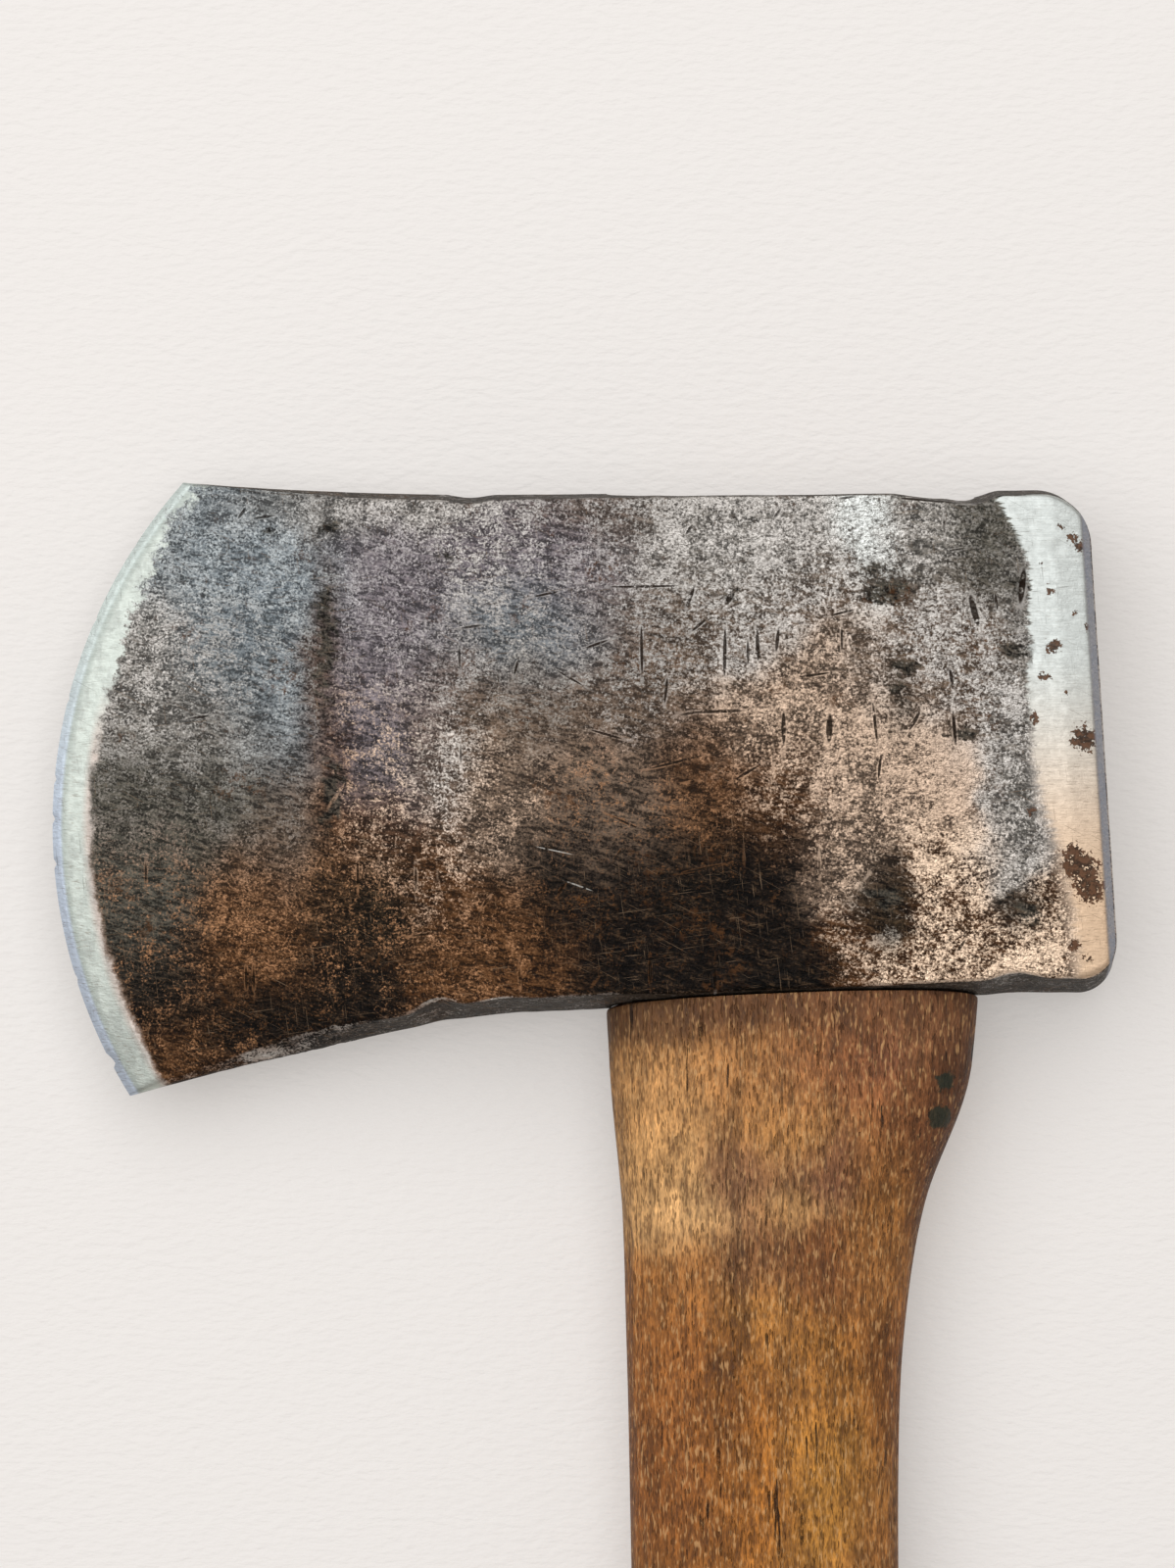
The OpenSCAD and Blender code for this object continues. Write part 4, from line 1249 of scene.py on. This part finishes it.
def ground_steel(f, lines, at_poll, from_edge, height_up):
    """The colour of the ground bands: a honed line, a pinkish inner line, and grinding lines."""
    hone = f.less(f.step(from_edge, 1.0, 1.5))
    seam = f.times(f.step(from_edge, 0.9, 1.35), f.less(f.step(from_edge, 1.5, 2.3)), 0.45)
    pink = f.times(f.step(from_edge, 3.6, 5.0), f.less(f.step(height_up, -2, 10)), 0.6)
    greyed = f.times(f.step(f.noise(2.2, 4, 0.65, f.laid(1, 2.4, 1)), 0.46, 0.62),
                     f.step(from_edge, 1.2, 2.4), f.less(f.times(at_poll, 0.8)), 0.34)
    honed = f.mix(f.step(height_up, 18, -10), "#bcc6c1", "#bcc7d4")
    bit = f.mix(hone, "#b7beb6", honed)
    bit = f.mix(seam, bit, "#7f8883")
    bit = f.mix(pink, bit, "#b39a90")
    bit = f.mix(greyed, bit, "#868a86")
    poll = f.mix(f.step(height_up, 14, -20), "#bcc1bd", "#cfb497")
    dashes = f.times(f.step(f.noise(1.0, 2, 0.5, f.laid(1.5, 0.14, 0.4)), 0.60, 0.68), 0.45)
    colour = f.lighten(f.mix(at_poll, bit, poll), f.swing(lines, 0.88, 1.09))
    dashes = f.times(dashes, f.span(height_up, 10, -10, 0.4, 1.0))
    return f.mix(dashes, colour, "#6d5a48")


def oxide_colour(f, oxide, bare, on_side, speckles):
    """Oxide: its patch's colour with a darker crust, rust in the thick of it, and rubbed crests."""
    mottled, specks, fine, cloudy, ripples = speckles
    crust = f.plus(f.times(mottled, 0.30), f.times(ripples, 0.42), f.times(specks, 0.28))
    crusted = f.times(f.centred(crust), f.span(bare, 0, 1, 14, 4), f.less(f.times(on_side, 0.6)))
    darkest = f.span(bare, 0, 0.5, 0.10, 0.42)
    dark = f.lighten(oxide, f.most(f.plus(1.0, crusted), darkest))
    dark = f.lighten(dark, f.swing(cloudy, 0.84, 1.16))
    rusty = f.times(f.step(f.noise(7.0, 4, 0.65), 0.54, 0.70), f.step(fine, 0.46, 0.62), 0.5)
    dark = f.mix(rusty, dark, "#664224")
    crests = f.times(f.step(ripples, 0.52, 0.68), f.step(specks, 0.42, 0.62),
                     f.span(bare, 0, 0.5, 0.34, 0.15))
    return f.mix(crests, dark, "#6c543c")


def cut_and_scratched(f, colour, steel, shine, ground, fine):
    """Draws the scratches, cuts, burrs and glints. The cuts are painted dark, partly as the shade in them,
    and the burrs round them and the glints are painted highlights. Returns the colour, and where the skin
    is cut.
    """
    # Scratches are pale where they cross the oxide and dark on bare steel
    scratch = f.most(f.strokes(8, 0.12, 4.5, 0.69), f.strokes(97, 0.12, 3.6, 0.70))
    scratch = f.most(scratch, f.strokes(-28, 0.10, 5.5, 0.70))
    colour = f.mix(f.times(scratch, 0.42), colour, f.mix(shine, "#937a60", "#3a2e24"))

    off_ground = f.less(ground)
    # Short cuts strewn over the cheek: dark insides, partly painted shade, and rims painted pale as
    # highlights
    scored, lit_burr = f.scored(91, 0.40, 3.6, 0.16)
    for degrees, width, length in ((8, 0.36, 3.2), (55, 0.42, 2.0)):
        more, more_lit_burr = f.scored(degrees, width, length, 0.13)
        scored = f.most(scored, more)
        lit_burr = f.most(lit_burr, more_lit_burr)
    scored = f.times(scored, off_ground)

    # Painted shade and highlights: the listed cuts' insides are dark, partly as the shade in them, and the
    # thin rims and burrs round them are pale as highlights
    shaded_cut, rim = f.marks(SHADED_CHEEK_CUTS)
    rim = f.times(f.most(rim, lit_burr), off_ground)
    cut = f.most(f.times(shaded_cut, f.step(fine, 0.30, 0.44)), f.times(scored, 0.8))
    colour = f.mix(f.times(rim, f.step(fine, 0.42, 0.56), 0.7), colour, f.lighten(steel, 1.25))
    colour = f.mix(f.times(cut, 0.92), colour, "#20170f")
    # Painted highlights: pale glints on the burrs and scratches
    glint = f.times(f.marks(GLINTS)[0], f.step(fine, 0.34, 0.50))
    return f.mix(f.times(glint, 0.6), colour, "#c6c4bc"), scored


def forged_finish():
    """The head: bare steel shows through oxide in specks, and the ground bands are all bare."""
    f = Finish("forged_head_finish")
    oxide, spot = f.carried("oxide")
    steel, bare = f.carried("steel")
    places, on_side = f.carried("reach")
    from_edge, past_ground, from_poll = f.parts(places)[:3]
    height_up = f.parts_of(f.place)[1]

    # Mottling, from clouds of some millimetres down to specks of a few tenths
    mottled = f.noise(4.2, 5, 0.93, bend=0.3)
    specks = f.noise(0.32, 1, 0.7)
    fine = f.noise(0.9, 2, 0.75)
    cloudy = f.noise(3.4, 4, 0.65, bend=0.5)
    streaky = f.noise(1.0, 3, 0.8, f.laid(2.0, 0.6, 1))
    ripples = f.noise(1.0, 2, 0.6, f.laid(2.2, 0.55, 0.7, -14), 0.4)
    lines = f.noise(1.0, 3, 0.6, f.laid(4.0, 0.16, 0.4))

    at_bit, at_poll = ground_bands(f, from_edge, past_ground, from_poll, height_up)
    ground = f.most(at_bit, at_poll)

    # Bare steel shows where the speckle stands over a level that falls as the share rises
    speckle = f.plus(f.times(mottled, 0.52), f.times(streaky, 0.18), f.times(specks, 0.30))
    level = f.span(bare, 0, 1, 0.605, 0.405)
    shine = f.step(speckle, f.math("SUBTRACT", level, 0.055), f.plus(level, 0.065))
    shine = f.most(shine, ground)
    pitted = f.most(f.pits(2.6, 0.18, 0.25), f.times(f.pits(1.1, 0.26, 0.2), 0.7))
    pitted = f.times(pitted, f.less(ground))
    spot_line = f.plus(spot, f.times(f.centred(fine), 2.2), f.times(f.centred(specks), 1.6))
    rust_spot = f.times(f.step(spot_line, 0.36, 0.62), f.step(spot, 0.02, 0.12))
    shine = f.times(shine, f.less(f.times(pitted, 0.8)), f.less(f.times(rust_spot, 0.9)))

    dark = oxide_colour(f, oxide, bare, on_side, (mottled, specks, fine, cloudy, ripples))
    bright = f.lighten(steel, f.swing(specks, 0.76, 1.22))
    bright = f.mix(ground, bright, ground_steel(f, lines, at_poll, from_edge, height_up))
    colour = f.mix(shine, dark, bright)
    spot_colour = f.mix(f.step(fine, 0.42, 0.62), "#33261d", "#664835")
    colour = f.mix(f.times(rust_spot, 0.85), colour, spot_colour)
    colour, scored = cut_and_scratched(f, colour, steel, shine, ground, fine)
    colour = f.mix(f.times(pitted, 0.5), colour, "#2c1e14")
    chamfer = f.times(f.less(f.step(from_poll, 0.9, 1.5)), f.step(from_poll, 0.10, 0.30))
    colour = f.mix(f.times(chamfer, 0.75), colour, "#a0a5af")

    # The cuts placed one by one are left out of the height: a bump holds a copy of all that feeds it
    height = f.plus(f.times(specks, 0.20), f.times(fine, 0.28), f.times(ripples, 0.40),
                    f.times(lines, 0.05), f.times(scored, -0.6))
    rough = f.plus(f.span(shine, 0, 1, 0.56, 0.40), f.swing(fine, -0.08, 0.10))
    f.set(Base_Color=colour, Metallic=f.span(shine, 0, 1, 0.08, 0.72), Roughness=rough,
          Normal=f.bump(height, 0.6, f.span(ground, 0, 1, 1.0, 0.12)), Specular_IOR_Level=0.08)
    return f.material


# From the tree's pith to the handle's origin, and the width of one year's ring
TO_PITH = (34, 0, 60)
RING_PITCH = 3.1


def hickory_finish():
    f = Finish("hickory_finish")
    stain_and_shade, dirt = f.carried("stain_and_shade")
    marks = f.parts(f.carried("marks")[0])
    green, dark_streak, end = marks[0], marks[1], marks[2]

    bands = f.noise(3.0, 4, 0.55, f.laid(1, 16, 1), 0.5)
    fibre = f.noise(0.6, 3, 0.9, f.laid(1, 7, 1))
    flecks = f.noise(0.42, 1, 0.7, f.laid(1, 4, 1))
    pores = f.step(f.noise(0.30, 1, 0.5, f.laid(1, 7, 1)), 0.60, 0.70)
    patchy = f.noise(4.5, 5, 0.7, f.laid(1, 1.7, 1))
    cracks = f.times(f.step(f.noise(0.9, 2, 0.5, f.laid(1, 12, 1)), 0.675, 0.70),
                     f.step(patchy, 0.46, 0.60))
    from_pith = f.length(f.scaled(f.moved(f.place, TO_PITH), (1, 0, 1)))
    ring_wave = f.math("SINE", f.plus(f.times(from_pith, 2 * math.pi / RING_PITCH), f.times(patchy, 4.0)))

    colour = f.lighten(stain_and_shade, f.swing(bands, 0.74, 1.30))
    colour = f.lighten(colour, f.swing(patchy, 0.54, 1.52))
    colour = f.lighten(colour, f.span(fibre, 0.34, 0.66, 0.40, 1.60))
    colour = f.lighten(colour, f.span(ring_wave, -1, 1, 0.93, 1.07))
    colour = f.mix(f.times(f.step(flecks, 0.54, 0.72), 0.60), colour, "#d0a26c")
    colour = f.mix(f.times(f.step(flecks, 0.48, 0.32), 0.50), colour, "#5a3517")
    colour = f.mix(f.times(pores, 0.65), colour, "#38200f")
    grime = f.times(f.step(f.plus(f.times(dirt, 0.9), f.times(f.centred(patchy), 0.9),
                                  f.times(f.centred(fibre), 0.5)), 0.20, 0.85), 0.66)
    colour = f.mix(grime, colour, "#4f3420")
    colour = f.mix(f.times(cracks, 0.85), colour, "#23140a")
    green_mask = f.step(f.plus(green, f.times(f.centred(f.noise(0.9, 4, 0.7)), 1.3)), 0.30, 0.55)
    colour = f.mix(f.times(green_mask, 0.88), colour, "#1f2a1e")
    # The dark streak below the head, drawn dark
    colour = f.mix(f.step(dark_streak, 0.2, 0.5), colour, "#1d1510")
    end_pores = f.step(f.noise(0.5, 3, 0.6), 0.56, 0.66)
    colour = f.mix(f.times(end, end_pores, 0.6), colour, "#2c1a0e")

    height = f.plus(f.times(fibre, 0.6), f.times(pores, -0.5), f.times(cracks, -1.6), f.times(flecks, 0.25),
                    f.times(end, f.times(end_pores, -0.6)), f.times(dark_streak, -1.0))
    rough = f.plus(f.swing(fibre, 0.50, 0.66), f.times(pores, 0.12), f.times(grime, -0.08))
    f.set(Base_Color=colour, Roughness=rough, Normal=f.bump(height, 0.5), Specular_IOR_Level=0.25)
    return f.material


def maple_finish():
    f = Finish("wedge_wood_finish")
    fibre = f.noise(0.5, 4, 0.7, f.laid(1, 12, 1))
    rings = f.noise(1.2, 3, 0.5, f.laid(4, 1, 1))
    crushed = f.step(f.noise(1.4, 4, 0.7), 0.52, 0.66)
    colour = f.mix(f.swing(fibre, 0, 1), "#6a4a2c", "#a98255")
    colour = f.lighten(colour, f.swing(rings, 0.8, 1.15))
    colour = f.mix(f.times(crushed, 0.6), colour, "#38261a")
    height = f.plus(fibre, f.times(crushed, -0.8))
    f.set(Base_Color=colour, Roughness=f.swing(fibre, 0.6, 0.8), Normal=f.bump(height, 0.25))
    return f.material


def rusty_finish():
    f = Finish("wedge_steel_finish")
    scale = f.noise(1.3, 5, 0.7)
    flakes = f.step(scale, 0.44, 0.60)
    colour = f.mix(flakes, "#6f6a64", "#6a3f22")
    colour = f.mix(f.times(f.step(f.noise(0.6, 4, 0.7), 0.52, 0.64), 0.7), colour, "#34221a")
    height = f.plus(scale, f.times(flakes, 0.5))
    f.set(Base_Color=colour, Metallic=f.span(flakes, 0, 1, 0.85, 0.15),
          Roughness=f.span(flakes, 0, 1, 0.42, 0.74), Normal=f.bump(height, 0.25))
    return f.material


def floor_finish():
    """A pale embossed sheet. Part of its tone is its own to the camera and in reflections, so that it
    stays pale under plain light while the hatchet's shadow still shows."""
    f = Finish("floor_finish")
    weave = f.noise(1.0, 2, 0.5, f.laid(2.2, 0.9, 1))
    f.set(Base_Color="#eeebe7", Roughness=0.9, Normal=f.bump(weave, 0.25), Specular_IOR_Level=0.1)
    own = f.add("ShaderNodeEmission")
    f.put(own.inputs["Color"], "#ece8e4")
    rays = f.add("ShaderNodeLightPath").outputs
    seen = f.most(rays["Is Camera Ray"], rays["Is Glossy Ray"], rays["Is Transmission Ray"])
    both = f.add("ShaderNodeMixShader")
    f.put(both.inputs["Fac"], f.times(seen, FLOOR_OWN_TONE))
    f.tree.links.new(f.shader.outputs[0], both.inputs[1])
    f.tree.links.new(own.outputs[0], both.inputs[2])
    output = next(n for n in f.tree.nodes if n.type == "OUTPUT_MATERIAL")
    f.tree.links.new(both.outputs[0], output.inputs["Surface"])
    return f.material


def give(piece, material):
    piece.data.materials.clear()
    piece.data.materials.append(material)


# ---- Floor, light and camera ----

FLOOR_HALF = 6000
FLOOR_MIDDLE_Y = -130
# The middle of the camera's view, the height that it takes in, and its lens and sensor
VIEW_X = -27.1
VIEW_Y = -4.9
VIEW_H = 207.8
LENS = 180
SENSOR = 36
# The softbox's place, the point that it faces, its size and its power in watts
SOFTBOX_PLACE = (-300, 420, 1250)
SOFTBOX_TARGET = (-20, 0, 0)
SOFTBOX_SIZE = 2000
SOFTBOX_POWER = 20.5
WORLD_LIGHT = 0.38


def make_floor():
    cells = 2
    steps = [-FLOOR_HALF + 2 * FLOOR_HALF * i / cells for i in range(cells + 1)]
    points = [(x, y + FLOOR_MIDDLE_Y, 0.0) for x in steps for y in steps]
    across = cells + 1
    faces = [(i * across + j, (i + 1) * across + j, (i + 1) * across + j + 1, i * across + j + 1)
             for i in range(cells) for j in range(cells)]
    floor = make_object("floor", points, faces)
    give(floor, floor_finish())


def make_lamp(name, place, target, size, power, colour):
    lamp = bpy.data.lights.new(name, "AREA")
    lamp.shape = "DISK"
    lamp.size = size * MM
    lamp.energy = power
    lamp.color = srgb(colour)
    holder = bpy.data.objects.new(name, lamp)
    bpy.context.scene.collection.objects.link(holder)
    start = np.array(place) * MM
    away = np.array(target) * MM - start
    holder.location = start
    holder.rotation_euler = Vector(away).to_track_quat("-Z", "Y").to_euler()


def make_world():
    world = bpy.data.worlds.new("studio")
    bpy.context.scene.world = world
    world.use_nodes = True
    backdrop = next(n for n in world.node_tree.nodes if n.type == "BACKGROUND")
    backdrop.inputs["Color"].default_value = (*srgb("#fff6f0"), 1)
    backdrop.inputs["Strength"].default_value = WORLD_LIGHT


def make_camera():
    """Straight down, with the head and the top of the handle in view."""
    camera = bpy.data.cameras.new("camera")
    camera.sensor_fit = "AUTO"
    camera.sensor_width = SENSOR
    camera.lens = LENS
    height = VIEW_H * LENS / SENSOR
    camera.clip_start = 0.05
    camera.clip_end = 20
    holder = bpy.data.objects.new("camera", camera)
    holder.location = (VIEW_X * MM, VIEW_Y * MM, (MID_Z + height) * MM)
    bpy.context.scene.collection.objects.link(holder)
    bpy.context.scene.camera = holder


make_camera()
head = make_head()
paint_head(head)
give(head, forged_finish())
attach(head, ROOT)
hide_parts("head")

handle = make_handle()
paint_handle(handle)
give(handle, hickory_finish())
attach(handle, ROOT)
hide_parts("handle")

give(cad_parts["wooden_wedge"], maple_finish())
rusty = rusty_finish()
for name in ("steel_wedge_front", "steel_wedge_rear"):
    give(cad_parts[name], rusty)

make_floor()
make_world()
make_lamp("softbox", SOFTBOX_PLACE, SOFTBOX_TARGET, SOFTBOX_SIZE, SOFTBOX_POWER, "#fbfcff")
bpy.context.scene.view_settings.view_transform = "Standard"
